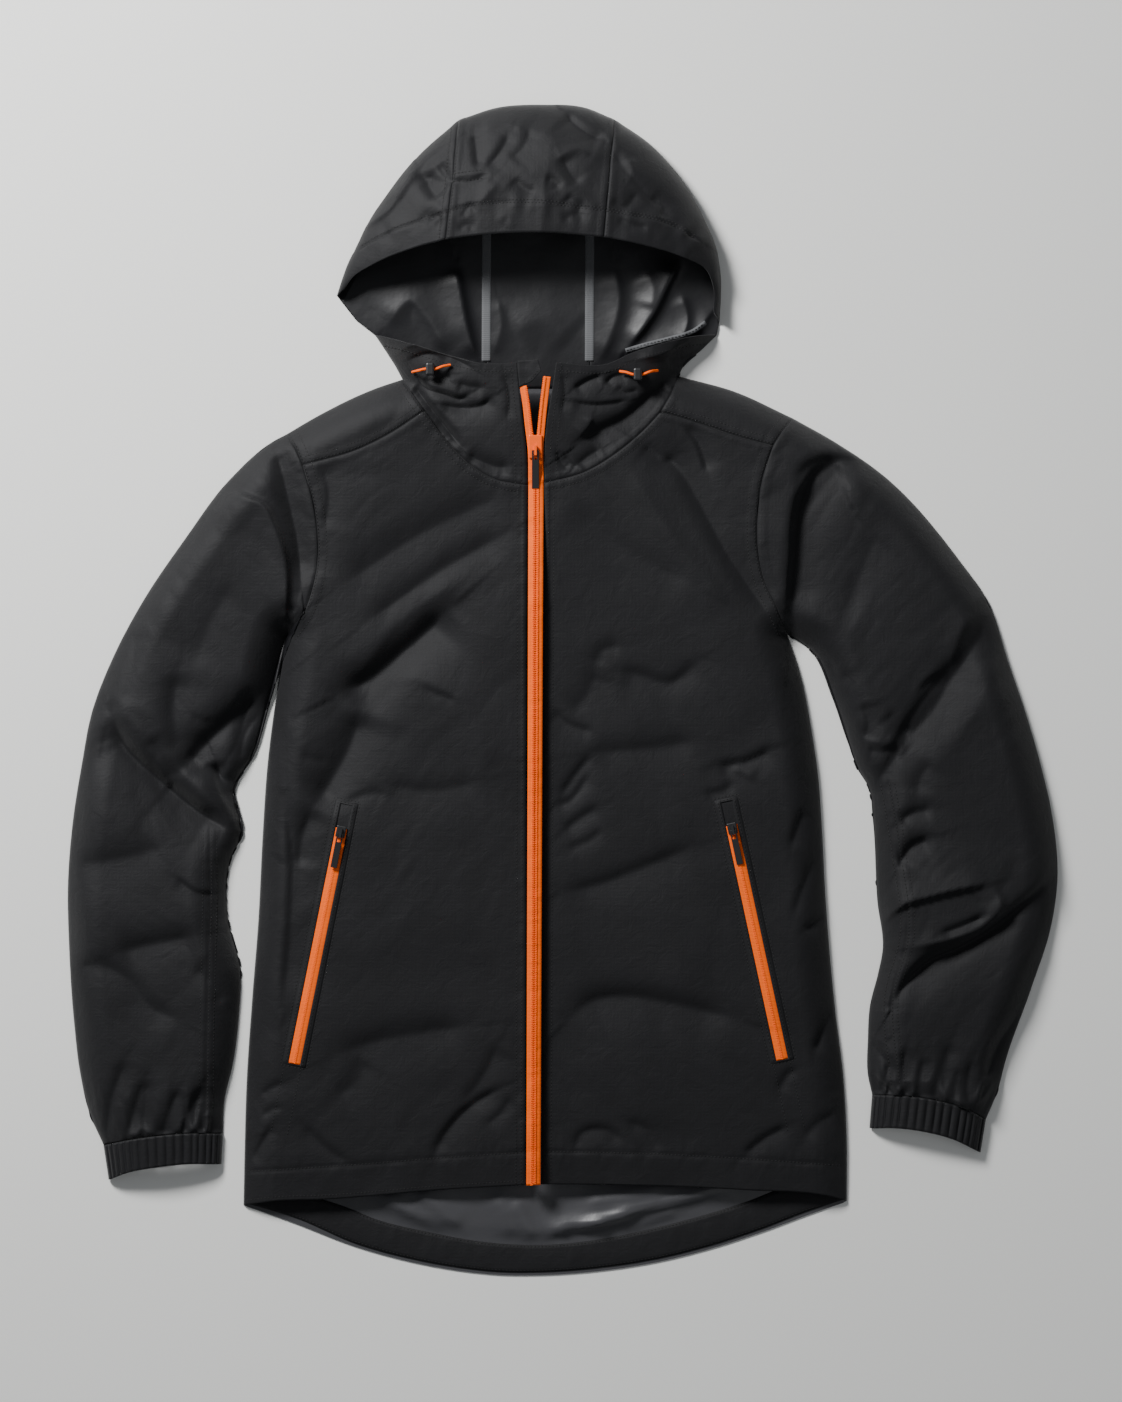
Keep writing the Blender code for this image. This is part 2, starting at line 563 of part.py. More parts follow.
def resting(carrier, reach=0.0):
    """Height of the carrier's real facets, found by looking straight down at a point and at
    eight more round it, so that what lies there clears the facets' ridges too."""
    graph = bpy.context.evaluated_depsgraph_get()
    graph.update()
    tree = BVHTree.FromObject(carrier, graph)
    around = [(0.0, 0.0)]
    if reach:
        around += [(reach * math.cos(turn), reach * math.sin(turn))
                   for turn in np.arange(8) * math.pi / 4]

    def height(x, y):
        found = np.zeros_like(x)
        for index in np.ndindex(x.shape):
            starts = [Vector(((x[index] + dx) * MM, (y[index] + dy) * MM, 1.0))
                      for dx, dy in around]
            hits = [tree.ray_cast(start, Vector((0, 0, -1)))[0] for start in starts]
            found[index] = max(hit.z / MM for hit in hits if hit)
        return found
    return height


def zip_half(side):
    """One half of the centre zip: beside the front's edge up to the slider, then bending
    away along the collar's edge."""
    sign = -1 if side == "right" else 1
    edge = np.array(LINES[side]["zip_edge"], float)
    offset = GAP + ZIP_WIDTH / 2
    edge[:, 0] -= sign * offset
    closed = curve(edge, 18)
    line = join(closed, curve(np.vstack([closed[-1], ZIP_OPEN[side]]), 5))

    def height(x, y):
        return upper_height(x, y, side, collar=True)
    grid = strip(line, ZIP_WIDTH, height, len(line) - 1)
    return sheet(f"zip_half_{side}", grid, "orange_tape", ZIP_WALL)


def box(name, size, centre, slot):
    """Rectangular block."""
    x, y, z = (half / 2 for half in size)
    corners = np.array([(sx * x, sy * y, sz * z) for sx in (-1, 1) for sy in (-1, 1)
                        for sz in (-1, 1)]) + centre
    faces = [(0, 1, 3, 2), (4, 6, 7, 5), (0, 4, 5, 1), (2, 3, 7, 6), (0, 2, 6, 4), (1, 5, 7, 3)]
    return add_object(name, corners, faces, slot, smooth=False)


def cut(target, cutter, operation="DIFFERENCE"):
    """Exact Boolean of the target with a guide object, kept as a modifier."""
    cutter.hide_render = True
    cutter.display_type = "WIRE"
    tool = target.modifiers.new(operation.lower(), "BOOLEAN")
    tool.operation = operation
    tool.solver = "EXACT"
    tool.object = cutter
    cutter.parent = target


def rounded(target, width, segments=2):
    """Bevels a block's edges."""
    tool = target.modifiers.new("bevel", "BEVEL")
    tool.width = width * MM
    tool.segments = segments
    tool.limit_method = "ANGLE"


def place(target, point, up_slope=0.0, turn=0.0):
    """Puts a hard piece at a point of the garment, turned in plan and tilted."""
    target.matrix_world = (Matrix.Translation(Vector(point) * MM) @ Matrix.Rotation(turn, 4, "Z")
                           @ Matrix.Rotation(up_slope, 4, "X"))


PLATE_Z = 2.6         # slider plate's thickness
PIVOT_Z = PLATE_Z + 2.3
BRIDGE = (2.2, 9.0, 4.4)
PULL_BAR = 1.4        # the pull's cross bar and its thickness
PULL_DROOP = 6.0      # degrees below the slider's plate


def slider(name, width, length, slot):
    """Zip slider: a plate over the teeth and a bridge that holds the pull's cross bar. Its
    origin is on the zip's surface, under the bar."""
    body = box(name, (width, length, PLATE_Z), (0, length * 0.18, PLATE_Z / 2 + GAP), slot)
    rounded(body, 0.9)
    bridge = box(name + "_bridge_guide", BRIDGE, (0, 0.6, PLATE_Z + BRIDGE[2] / 2 - 0.2 + GAP), slot)
    eye = box(name + "_eye_guide", (6, 3.0, 2.8), (0, 0, PIVOT_Z + GAP), slot)
    cut(body, bridge, "UNION")
    cut(body, eye)
    return body


def pull(name, width, length, droop):
    """Pull tab, with a window round the slider's bridge. Its origin is the bar's axis, and
    it droops towards the zip."""
    reach = length + PULL_BAR / 2
    tab = box(name, (width, reach, PULL_BAR), (0, (PULL_BAR - reach) / 2, 0), "black_plastic")
    rounded(tab, 0.35, 1)
    window = box(name + "_window_guide", (3.4, 7.5, 4), (0, -PULL_BAR / 2 - 3.75, 0), "black_plastic")
    cut(tab, window)
    tab.data.transform(Matrix.Rotation(droop, 4, "X"))
    window.data.transform(Matrix.Rotation(droop, 4, "X"))
    return tab


def zip_fittings(name, point, turn, slope, width, length, pull_size):
    """A slider and its pull on a zip's surface at the point."""
    body = slider(f"{name}_slider", width, length, "orange_metal" if name == "centre" else "black_plastic")
    place(body, point, slope, turn)
    droop = math.radians(PULL_DROOP)
    tab = pull(f"{name}_pull", *pull_size, droop)
    axis = Vector(point) + Matrix.Rotation(turn, 3, "Z") @ Matrix.Rotation(slope, 3, "X") @ Vector(
        (0, 0, PIVOT_Z + GAP))
    place(tab, axis, slope, turn)


def pocket(side, carrier):
    """Slanted pocket zip on the front, with a welt frame round it and its slider at the top."""
    on_front = resting(carrier, 8.0)
    top, bottom = (np.array(p, float) for p in LINES[side]["pocket_zip"])
    ahead = (top - bottom) / np.linalg.norm(top - bottom)
    beside = np.array([ahead[1], -ahead[0]])
    grid = strip([bottom, top], POCKET_ZIP_WIDTH,
                 lambda x, y: on_front(x, y) + GAP + TAPE_WALL, 22)
    sheet(f"pocket_zip_{side}", grid, "orange_tape", TAPE_WALL)

    inner_half = POCKET_ZIP_WIDTH / 2 + GAP
    outer_half = inner_half + WELT_WIDTH
    ends = (bottom - ahead * 2, top + ahead * WELT_LENGTH)
    share = np.linspace(0, 1, 22)[:, None]
    run = ends[0] + (ends[1] - ends[0]) * share
    window = (bottom - ahead * GAP, top + ahead * 2)
    inner_run = window[0] + (window[1] - window[0]) * share
    inner_ring = np.vstack([inner_run + beside * inner_half, inner_run[::-1] - beside * inner_half])
    outer_ring = np.vstack([run + beside * outer_half, run[::-1] - beside * outer_half])
    plan = np.stack([inner_ring, outer_ring])
    height = on_front(plan[..., 0], plan[..., 1]) + GAP + TAPE_WALL
    sheet(f"pocket_welt_{side}", lifted(plan, height), wall=TAPE_WALL, ring=True)

    pivot = top - ahead * 5
    turn = math.atan2(-ahead[0], ahead[1])
    spots = np.array([pivot, pivot - ahead * 30])
    level = on_front(spots[:, 0], spots[:, 1]) + GAP + TAPE_WALL
    slope = math.atan2(level[0] - level[1], 30)
    zip_fittings(f"pocket_{side}", (*pivot, level[0]), turn, slope, 9.0, 11.0, (6.2, 33.0))


def drawcord(side, carrier):
    """Elastic cord that leaves the rim channel, passes through its lock and goes back in."""
    level = resting(carrier)
    lock_x, lock_y = CORDS[side]["lock"]
    start, end = (np.array(p, float) for p in CORDS[side]["ends"])
    spots = np.array([start, (lock_x, lock_y), end])
    base = level(spots[:, 0], spots[:, 1])
    lock_z = max(base) + 5.2
    route = [(*start, base[0] + 1.6), (*(start * 0.6 + np.array((lock_x, lock_y)) * 0.4), lock_z - 0.6),
             (lock_x - 5, lock_y, lock_z), (lock_x + 5, lock_y, lock_z),
             (*(end * 0.6 + np.array((lock_x, lock_y)) * 0.4), lock_z - 0.6), (*end, base[2] + 1.6)]
    points = curve(route, 14) * MM
    data = bpy.data.curves.new(f"drawcord_{side}", "CURVE")
    data.dimensions = "3D"
    data.bevel_depth = CORD_D / 2 * MM
    data.bevel_resolution = 2
    data.use_fill_caps = True
    spline = data.splines.new("POLY")
    spline.points.add(len(points) - 1)
    spline.points.foreach_set("co", np.column_stack([points, np.ones(len(points))]).ravel())
    data.materials.append(material("elastic_cord"))
    cord = bpy.data.objects.new(f"drawcord_{side}", data)
    bpy.context.scene.collection.objects.link(cord)

    lock = box(f"cord_lock_{side}", (8.0, 12.0, 8.0), (0, 0, 0), "black_plastic")
    rounded(lock, 1.8)
    bore = box(f"cord_lock_{side}_guide", (20, CORD_D + 1.4, CORD_D + 1.4), (0, 0, 0), "black_plastic")
    cut(lock, bore)
    place(lock, (lock_x, lock_y, lock_z))


def build():
    """All pieces, from the table up."""
    for old in list(bpy.data.objects):
        bpy.data.objects.remove(old, do_unlink=True)
    seams = {side: Seams(side) for side in LINES}
    back_panel(seams)
    back_hem()
    fronts, collars = {}, {}
    for side in LINES:
        under_sleeve(side, seams[side])
        fronts[side] = front(side, seams[side])
        yoke(side, seams[side])
        collars[side] = collar(side, seams[side])
        top_sleeve(side, seams[side])
        cuff(side, seams[side])
        zip_half(side)
    hood()
    for side, line in HOOD_TAPES.items():
        flat = WALL + GAP + TAPE_WALL
        grid = strip(line, TAPE_WIDTH, lambda x, y: np.full_like(x, flat), 4)
        sheet(f"hood_tape_{side}", grid, "seam_tape", TAPE_WALL)
    for side in LINES:
        pocket(side, fronts[side])
        drawcord(side, collars[side])
    zip_level = upper_height(np.array([-25.5, -25.5]), np.array([226.0, 192.0]), "right", collar=True)
    zip_fittings("centre", (-25.5, 226, zip_level[0]), 0.0,
                 math.atan2(zip_level[0] - zip_level[1], 34), 12.5, 22.0, (6.8, 36.0))
    hem_level = upper_height(np.array([-27.4]), np.array([-464.0]), "right")[0]
    box("zip_box", (12.6, 8.0, 1.6), (-27.4, -464.5, hem_level + GAP + 0.8), "orange_metal")
    outline = np.array(CHIN_FLAP, float)
    level = upper_height(outline[:, 0], outline[:, 1], "right", collar=True).max()
    plate("chin_flap", outline[::-1], level + GAP, level + GAP + WALL)


build()
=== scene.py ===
"""Looks of the rain shell jacket, laid flat on its back with the front zip up.

X runs across the garment, Y up it towards the hood, Z away from the table. Tables are in
millimetres, meshes in metres. "right" is the wearer's right, at minus X.

The upper layer (fronts, yokes, top sleeves, collar) is one height over the plan, made of a
rounded edge, a filled middle, folds and seams. The hood is one surface from its raised rim
over the crown and back along the table.
"""
import math

import bpy
import numpy as np
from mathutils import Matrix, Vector
from mathutils.bvhtree import BVHTree


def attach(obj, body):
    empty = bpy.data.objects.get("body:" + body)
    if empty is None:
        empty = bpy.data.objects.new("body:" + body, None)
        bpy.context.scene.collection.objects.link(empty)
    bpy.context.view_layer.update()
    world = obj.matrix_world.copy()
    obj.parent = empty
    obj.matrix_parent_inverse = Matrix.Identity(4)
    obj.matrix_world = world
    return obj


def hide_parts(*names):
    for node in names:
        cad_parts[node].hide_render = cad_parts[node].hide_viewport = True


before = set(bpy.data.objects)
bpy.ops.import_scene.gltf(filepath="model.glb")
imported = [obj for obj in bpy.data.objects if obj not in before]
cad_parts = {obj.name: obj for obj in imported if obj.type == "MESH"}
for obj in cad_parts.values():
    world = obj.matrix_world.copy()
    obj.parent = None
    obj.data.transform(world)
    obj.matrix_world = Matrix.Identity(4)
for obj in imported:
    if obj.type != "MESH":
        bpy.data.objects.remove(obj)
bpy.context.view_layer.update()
BODY = "jacket"

MM = 0.001
WALL = 1.0               # shell cloth, a little under the frame's wall
THIN_WALL = 0.9          # under sleeves and chin flap
TABLE_GAP = 0.15         # a lining stays this far above the table
UNDER_INSET = 2.0        # the under layer ends this far inside the folded edges

# Section of the upper layer, going in from a folded edge
EDGE_FOOT = 0.4          # outer face at the edge itself
EDGE_Z = 2.8             # outer face just inside it
EDGE_ROUND = 3.0         # width of the small round between them
KEPT_WIDTH = 6.0         # no fold cuts below a ramp of this width at the edge
KEPT_RISE = 2.2          # and of this rise
TURN = 34.0              # width of the broad rounding beside the edge
FOLD_FADE = 18.0         # folds have their full depth this far in
SEAM_FADE = 8.0          # and seams this far
COLLAR_RISE = 9.0        # the collar's rise from its neck seam
COLLAR_DEPTH = 110.0     # and the way over which it rises

# Profile of a fold
FOLD_GAIN = 1.5          # the fold tables' depths are multiplied by this
FOLD_REACH = 1.25        # in half widths
CREST_POWER = 1.35       # 1 is a knife edge, 2 a round hump
LEAN_GAIN = 1.3
MOST_TILT = 0.85
END_SHARE = 0.2          # share of its length over which a fold dies out at either end
END_DEPTH = 0.25         # share of its depth at its very ends
LIT_FROM = (-0.6, 0.8)   # the photograph's light, in plan

# Seams
VALLEY_DEPTH = 0.6
VALLEY_WIDTH = 1.6
BAND_LIFT = 0.4          # doubled cloth beside a seam
HELD_WIDTH = 3.0         # the seam holds puckers flat this near to it
PUCKER_PITCH = 8.0

# Random relief: values a lattice holds each way, and the place in it of the plan's origin
LATTICE = 64
LATTICE_START = 20
# Height and cell of the slow roll, and gain of the handled nylon's crumple
ROLL_HEIGHT = 1.0
ROLL_CELL = 55
SLEEVE_CRUMPLE = 1.25
BODY_CRUMPLE = 0.8
CRUMPLE_TURN = 50        # degrees, mirrored on the other half and on the sleeves
CREASE_SIZES = [(46, 1.5), (24, 0.8), (12, 0.35)]      # cell and height
CREASE_STRETCH = 2.4     # its creases are longer than wide by this
CREASE_WANDER = 14       # they stray this far, over cells of
WANDER_CELL = 60
PATCH_CELL = 95          # and come in patches of this size
SEEDS = {"roll": 5, "crumple": 40, "seams": 31, "hood": 60, "brim": 77, "lining": 12, "tail": 4,
         "tail_band": 14, "chin_flap": 6, "cuff_right": 21, "cuff_left": 23}

# Height of the filled middle along Y
BODY_LIFT = [(-490, 9), (-440, 14), (-300, 19), (-100, 22), (50, 24), (150, 25), (310, 25)]
SLEEVE_LIFT = [(-440, 17), (-380, 21), (-250, 24), (-50, 26), (50, 24), (150, 25), (310, 25)]

# ---------------------------------------------------------------- plan lines
LINES = {
    "right": {
        "hood_edge": [(-152, 295), (-159, 308), (-168, 322), (-178, 337)],
        "shoulder": [(-262, 243), (-233, 260), (-176, 287), (-152, 295)],
        "neck_yoke": [(-152, 295), (-142, 280), (-131, 264)],
        "neck_front": [(-131, 264), (-110, 236), (-86, 212), (-65, 200), (-36, 194)],
        "yoke_seam": [(-246, 213), (-193, 228), (-163, 243), (-131, 264)],
        "armhole_yoke": [(-262, 243), (-253, 229), (-246, 213)],
        "armhole_front": [(-246, 213), (-238, 185), (-233, 155), (-232, 130), (-236, 100),
                          (-245, 74), (-262, 51)],
        "side": [(-262, 51), (-271, 0), (-280, -68), (-285, -140), (-289, -219), (-295, -295),
                 (-300, -370), (-302, -437), (-303, -489)],
        "hem": [(-303, -489), (-276, -485), (-226, -483), (-116, -474), (-34.5, -469)],
        "zip_edge": [(-34.5, -469), (-33, 0), (-32.5, 194)],
        "collar_zip": [(-33, 194), (-34, 225), (-37.5, 255), (-41.5, 290), (-43, 309)],
        "rim": [(-178, 337), (-150, 329), (-108, 316), (-77, 309), (-43, 309)],
        "sleeve_outer": [(-262, 243), (-275, 236), (-316, 200), (-359, 143), (-400, 82),
                         (-426, 33), (-447, -21), (-457, -72), (-465, -123), (-470, -190),
                         (-469, -238), (-464, -316), (-458, -365), (-450, -400), (-436, -432)],
        "sleeve_inner": [(-263.5, 51), (-273, 15), (-283, -25), (-293, -60), (-312, -95),
                         (-304.5, -137), (-315, -160), (-318, -215), (-305.5, -268),
                         (-307, -305), (-313, -355), (-321, -390), (-322.5, -421)],
        "cuff_top": [(-436, -432), (-414, -427), (-381, -422), (-353, -420), (-322.5, -421)],
        "cuff_end": [(-431, -465), (-414, -458), (-384, -452), (-353, -449), (-324, -450)],
        "pocket_zip": [(-209, -131), (-254, -354)],
    },
    "left": {
        "hood_edge": [(110, 298), (116, 310), (131, 322), (146, 337)],
        "shoulder": [(219, 258), (162, 284), (110, 298)],
        "neck_yoke": [(110, 298), (103, 280), (93, 263)],
        "neck_front": [(93, 263), (78, 247), (56, 228), (20, 206), (-16.5, 196)],
        "yoke_seam": [(199, 231), (165, 240), (130, 252), (93, 263)],
        "armhole_yoke": [(219, 258), (208, 245), (199, 231)],
        "armhole_front": [(199, 231), (189, 200), (184, 162), (185, 130), (191, 103),
                          (203, 77), (214, 52)],
        "side": [(214, 52), (226, 15), (237, -41), (243, -83), (246, -124), (250, -200),
                 (259, -304), (267, -370), (270, -430), (270, -485)],
        "hem": [(270, -485), (256, -481), (172, -474), (44, -469), (-20.5, -468.5)],
        "zip_edge": [(-20.5, -468.5), (-18.5, 0), (-17.5, 196)],
        "collar_zip": [(-17, 196), (-17, 225), (-14.5, 255), (-9.5, 285), (-6, 309)],
        "rim": [(146, 337), (128, 335), (100, 329), (62, 317), (45, 309), (-6, 309)],
        "sleeve_outer": [(219, 258), (258, 236), (302, 206), (377, 123), (404, 84),
                         (424, 25), (441, -25), (455, -74), (464, -113), (470, -182),
                         (465, -220), (444, -287), (423, -345), (411, -387), (402, -408)],
        "sleeve_inner": [(215.5, 52), (238, 36), (258, -8), (272, -50), (281, -76), (291, -93),
                         (295, -123), (299, -200), (304, -247), (300, -268), (292, -300),
                         (290, -332), (290, -365), (294, -384)],
        "cuff_top": [(402, -408), (384, -398), (360, -390), (332, -385), (294, -384)],
        "cuff_end": [(397, -439), (371, -426), (341, -418), (312, -415), (291.5, -416)],
        "pocket_zip": [(160, -128), (208, -350)],
    },
}

# Folds over the plan: line, half width, depth (a ridge is negative), lean. Lean, from 0 up,
# makes the shaded side steeper than the lit one.
FOLDS = {
    "right": [
        # chest, fanning out from the zip to the armhole
        ([(-55, 185), (-130, 150), (-215, 95)], 20, 3.8, 0.3),
        ([(-50, 150), (-120, 110), (-190, 60)], 15, 4.2, 0.3),
        ([(-90, 110), (-160, 58), (-205, 0)], 14, -1.8, 0.2),
        ([(-105, 78), (-150, 38), (-182, 12), (-212, -4)], 16, 10.5, 0.3),
        ([(-190, -18), (-200, -50), (-216, -80), (-236, -112)], 16, 8.0, 0.15),
        # puffed cloth above the pocket
        ([(-165, 12), (-125, 8), (-95, -12), (-78, -45), (-70, -78)], 13, -1.6, 0.2),
        ([(-132, 3), (-118, -3), (-100, -10)], 3, 1.0, 0.5),
        ([(-75, -85), (-120, -95), (-170, -90)], 12, 1.8, 0.4),
        ([(-248, -62), (-235, -66), (-222, -68)], 3, 0.9, 0.0),
        ([(-262, -100), (-256, -160), (-258, -230), (-264, -300)], 11, 3.2, 0.5),
        ([(-238, -112), (-246, -140), (-250, -170)], 8, 3.0, 0.3),
        ([(-205, -105), (-178, -97), (-165, -100)], 4, 1.2, 0.4),
        # skirt
        ([(-215, -346), (-185, -335), (-130, -324), (-88, -318)], 15, 3.6, 0.3),
        ([(-55, -375), (-85, -392), (-112, -420), (-125, -445)], 7, 2.8, 0.5),
        ([(-60, -335), (-75, -365), (-95, -392)], 9, 2.0, 0.4),
        ([(-48, -385), (-60, -402), (-72, -412)], 4, 1.2, 0.3),
        ([(-245, -412), (-228, -430), (-205, -447)], 5, 1.9, 0.4),
        ([(-215, -385), (-200, -375), (-185, -350)], 10, 1.8, 0.2),
        ([(-296, -448), (-284, -428), (-274, -412)], 4, 1.8, 0.3),
        ([(-286, -384), (-275, -376), (-264, -372)], 4, 1.3, 0.3),
        ([(-284, -404), (-274, -397), (-266, -396)], 3, 1.1, 0.0),
        # shoulder and sleeve cap
        ([(-228, 215), (-221, 190), (-225, 150)], 8, 1.8, 0.4),
        ([(-273, 236), (-262, 190), (-252, 145), (-247, 95)], 13, 8.5, 0.35),
        ([(-322, 190), (-297, 181), (-281, 174), (-274, 160), (-263, 128), (-262, 60)],
         9, -4.4, 0.6),
        ([(-264, 76), (-258, 78), (-252, 74)], 3, 1.3, 0.0),
        ([(-265, 66), (-258, 62), (-252, 62)], 3, 1.3, 0.0),
        # upper arm and elbow
        ([(-310, 100), (-332, 66), (-350, 20)], 13, 1.8, 0.2),
        ([(-362, 20), (-366, -20), (-358, -62)], 11, 2.4, 0.3),
        ([(-392, -44), (-379, -66), (-366, -88)], 7, 3.6, 0.3),
        ([(-330, -28), (-338, -30), (-350, -24)], 4, 1.0, 0.3),
        ([(-428, -20), (-418, -50), (-400, -70), (-371, -95), (-349, -113), (-308, -137)],
         16, 14.5, 0.4),
        ([(-447, -22), (-428, -46), (-408, -76), (-378, -106), (-346, -130), (-306, -150)],
         14, -1.6, 0.0),
        ([(-404, 62), (-406, 30), (-416, -18)], 9, 2.6, 0.1),
        ([(-366, 16), (-370, -20), (-364, -66)], 10, 2.8, 0.1),
        ([(-282, -2), (-312, -26), (-340, -52), (-363, -79)], 17, 12.0, 0.35),
        ([(-330, -66), (-324, -82), (-306, -90), (-288, -92)], 9, 7.0, 0.3),
        ([(-333, -70), (-328, -92), (-316, -114), (-303, -136)], 7, -3.0, 0.5),
        ([(-285, -20), (-300, -40), (-306, -70)], 6, 3.5, 0.2),
        # forearm
        ([(-462, -166), (-420, -160), (-375, -148)], 15, 2.6, 0.3),
        ([(-366, -178), (-345, -192), (-328, -193)], 4, 1.9, 0.4),
        ([(-424, -250), (-400, -243), (-370, -237), (-345, -232)], 14, 4.2, 0.35),
        ([(-466, -264), (-440, -260), (-415, -272), (-390, -300), (-362, -314)], 12, 3.2, 0.3),
        ([(-350, -262), (-335, -275), (-322, -300)], 8, 2.2, 0.3),
        # gathers above the cuff
        ([(-434, -428), (-426, -385), (-412, -348)], 7, 2.6, 0.3),
        ([(-415, -432), (-406, -400), (-396, -368)], 5, 2.2, 0.3),
        ([(-398, -432), (-395, -402), (-391, -366)], 5, 2.4, 0.0),
        ([(-380, -430), (-373, -402), (-362, -376)], 5, 2.6, 0.2),
        ([(-366, -430), (-355, -402), (-340, -372)], 5, 2.6, 0.3),
        ([(-348, -428), (-347, -404), (-344, -378)], 4, 2.0, 0.0),
        ([(-335, -426), (-330, -398), (-324, -372)], 5, 2.2, 0.2),
    ],
    "left": [
        # chest
        ([(5, 178), (50, 138), (125, 98)], 18, 2.2, 0.3),
        ([(78, 232), (106, 214), (125, 185), (155, 130), (200, 65)], 13, 4.6, 0.4),
        ([(60, 215), (100, 150), (160, 70)], 13, -2.2, 0.2),
        ([(115, 250), (127, 235), (133, 220), (137, 205)], 4, 2.4, 0.5),
        ([(75, 232), (88, 222), (95, 215), (108, 222)], 6, 2.4, 0.3),
        ([(30, 22), (38, 38), (55, 42)], 7, 1.8, 0.2),
        ([(32, 18), (26, 0), (8, -22)], 12, 1.8, 0.2),
        ([(52, 18), (75, 14), (100, 7), (130, 28)], 9, 2.8, 0.4),
        ([(-10, -18), (2, -30), (30, -40)], 5, 1.6, 0.4),
        ([(25, -60), (50, -58), (90, -54), (128, -48)], 11, 2.4, 0.3),
        ([(28, -60), (12, -80), (-2, -100)], 6, 2.2, 0.4),
        ([(145, -72), (170, -68), (200, -55)], 7, 3.2, 0.5),
        ([(-8, -110), (5, -105), (25, -80)], 4, 1.6, 0.4),
        ([(0, -135), (15, -122), (35, -110)], 6, 2.0, 0.4),
        ([(5, -150), (25, -142), (38, -132)], 4, 1.3, 0.3),
        ([(0, -192), (40, -182), (75, -168), (125, -148)], 11, 2.8, 0.4),
        ([(160, -74), (172, -78), (182, -84)], 5, -1.6, 0.4),
        ([(135, -98), (150, -96), (162, -88)], 4, 1.8, 0.3),
        # skirt
        ([(6, -312), (25, -296), (60, -290), (100, -296), (165, -312)], 15, 4.4, 0.4),
        ([(10, -440), (18, -420), (40, -416), (60, -430)], 6, 2.0, 0.4),
        ([(60, -408), (78, -415), (92, -440)], 5, 1.7, 0.3),
        ([(170, -442), (190, -425), (215, -412)], 5, 2.2, 0.4),
        ([(258, -302), (248, -320), (238, -345)], 5, 2.6, 0.3),
        ([(262, -400), (240, -412), (228, -425)], 6, 1.8, 0.3),
        ([(205, -380), (212, -365), (222, -358)], 4, 1.8, 0.3),
        ([(228, -112), (222, -130), (216, -150)], 6, 2.4, 0.4),
        ([(240, -155), (228, -185), (218, -215)], 4, 1.6, 0.3),
        ([(248, -212), (238, -222), (228, -228)], 4, 2.0, 0.3),
        # sleeve cap
        ([(222, 195), (228, 208), (245, 218), (283, 217)], 6, 2.6, 0.3),
        ([(284, 218), (258, 216), (239, 203), (229, 182), (221, 120), (216, 62)], 20, 8.5, 0.52),
        ([(240, 216), (230, 202), (220, 184), (213, 120), (209, 66)], 7, -3.2, 0.2),
        ([(300, 150), (282, 110), (262, 60)], 12, 1.8, 0.2),
        # elbow
        ([(407, 80), (392, 47), (368, 10), (350, -20), (331, -42), (307, -75), (290, -98)],
         16, 6.0, 0.3),
        ([(424, 48), (408, 14), (390, -20), (362, -56), (326, -100)], 18, -2.0, 0.0),
        ([(372, 30), (352, 4), (330, -26), (312, -58)], 8, 2.6, 0.4),
        ([(388, 74), (376, 52), (366, 22)], 6, -1.8, 0.4),
        ([(358, 15), (348, 10), (338, 0)], 4, 1.8, 0.5),
        ([(285, -12), (290, -32), (286, -48)], 8, 3.0, 0.3),
        ([(308, -20), (318, -32), (332, -40)], 6, 2.4, 0.4),
        ([(288, -55), (302, -57), (320, -54)], 5, 2.6, 0.4),
        ([(325, -60), (316, -52), (306, -44)], 5, -1.6, 0.3),
        ([(252, 30), (262, 12), (275, 15)], 5, 1.6, 0.3),
        # forearm
        ([(318, -125), (330, -117), (350, -112)], 6, 3.4, 0.3),
        ([(318, -168), (330, -148), (350, -140)], 8, 4.6, 0.4),
        ([(335, -98), (338, -85), (350, -68)], 9, 2.6, 0.2),
        ([(300, -225), (320, -205), (350, -195), (405, -182)], 7, -3.6, 0.6),
        ([(405, -184), (415, -203), (400, -222), (365, -236), (330, -244)], 6, -3.4, 0.4),
        ([(356, -231), (380, -222), (402, -212)], 4, 3.4, 0.3),
        ([(312, -300), (325, -278), (345, -258), (380, -242), (412, -222), (460, -182)],
         11, 7.6, 0.5),
        ([(400, -374), (412, -340), (440, -300)], 9, 4.4, 0.4),
        ([(293, -332), (302, -345), (315, -360)], 4, 2.4, 0.3),
        ([(290, -362), (300, -370), (312, -380)], 3, 2.0, 0.3),
        ([(353, -400), (358, -365), (368, -332)], 6, 2.6, 0.3),
        ([(388, -410), (383, -378), (388, -348)], 5, 2.2, 0.2),
        ([(372, -404), (371, -378), (376, -356)], 4, 1.8, 0.2),
        ([(339, -398), (338, -370), (343, -346)], 5, 2.2, 0.3),
        ([(325, -398), (321, -366), (326, -336)], 5, 2.4, 0.3),
        ([(308, -396), (306, -372), (311, -352)], 4, 1.8, 0.2),
    ],
}
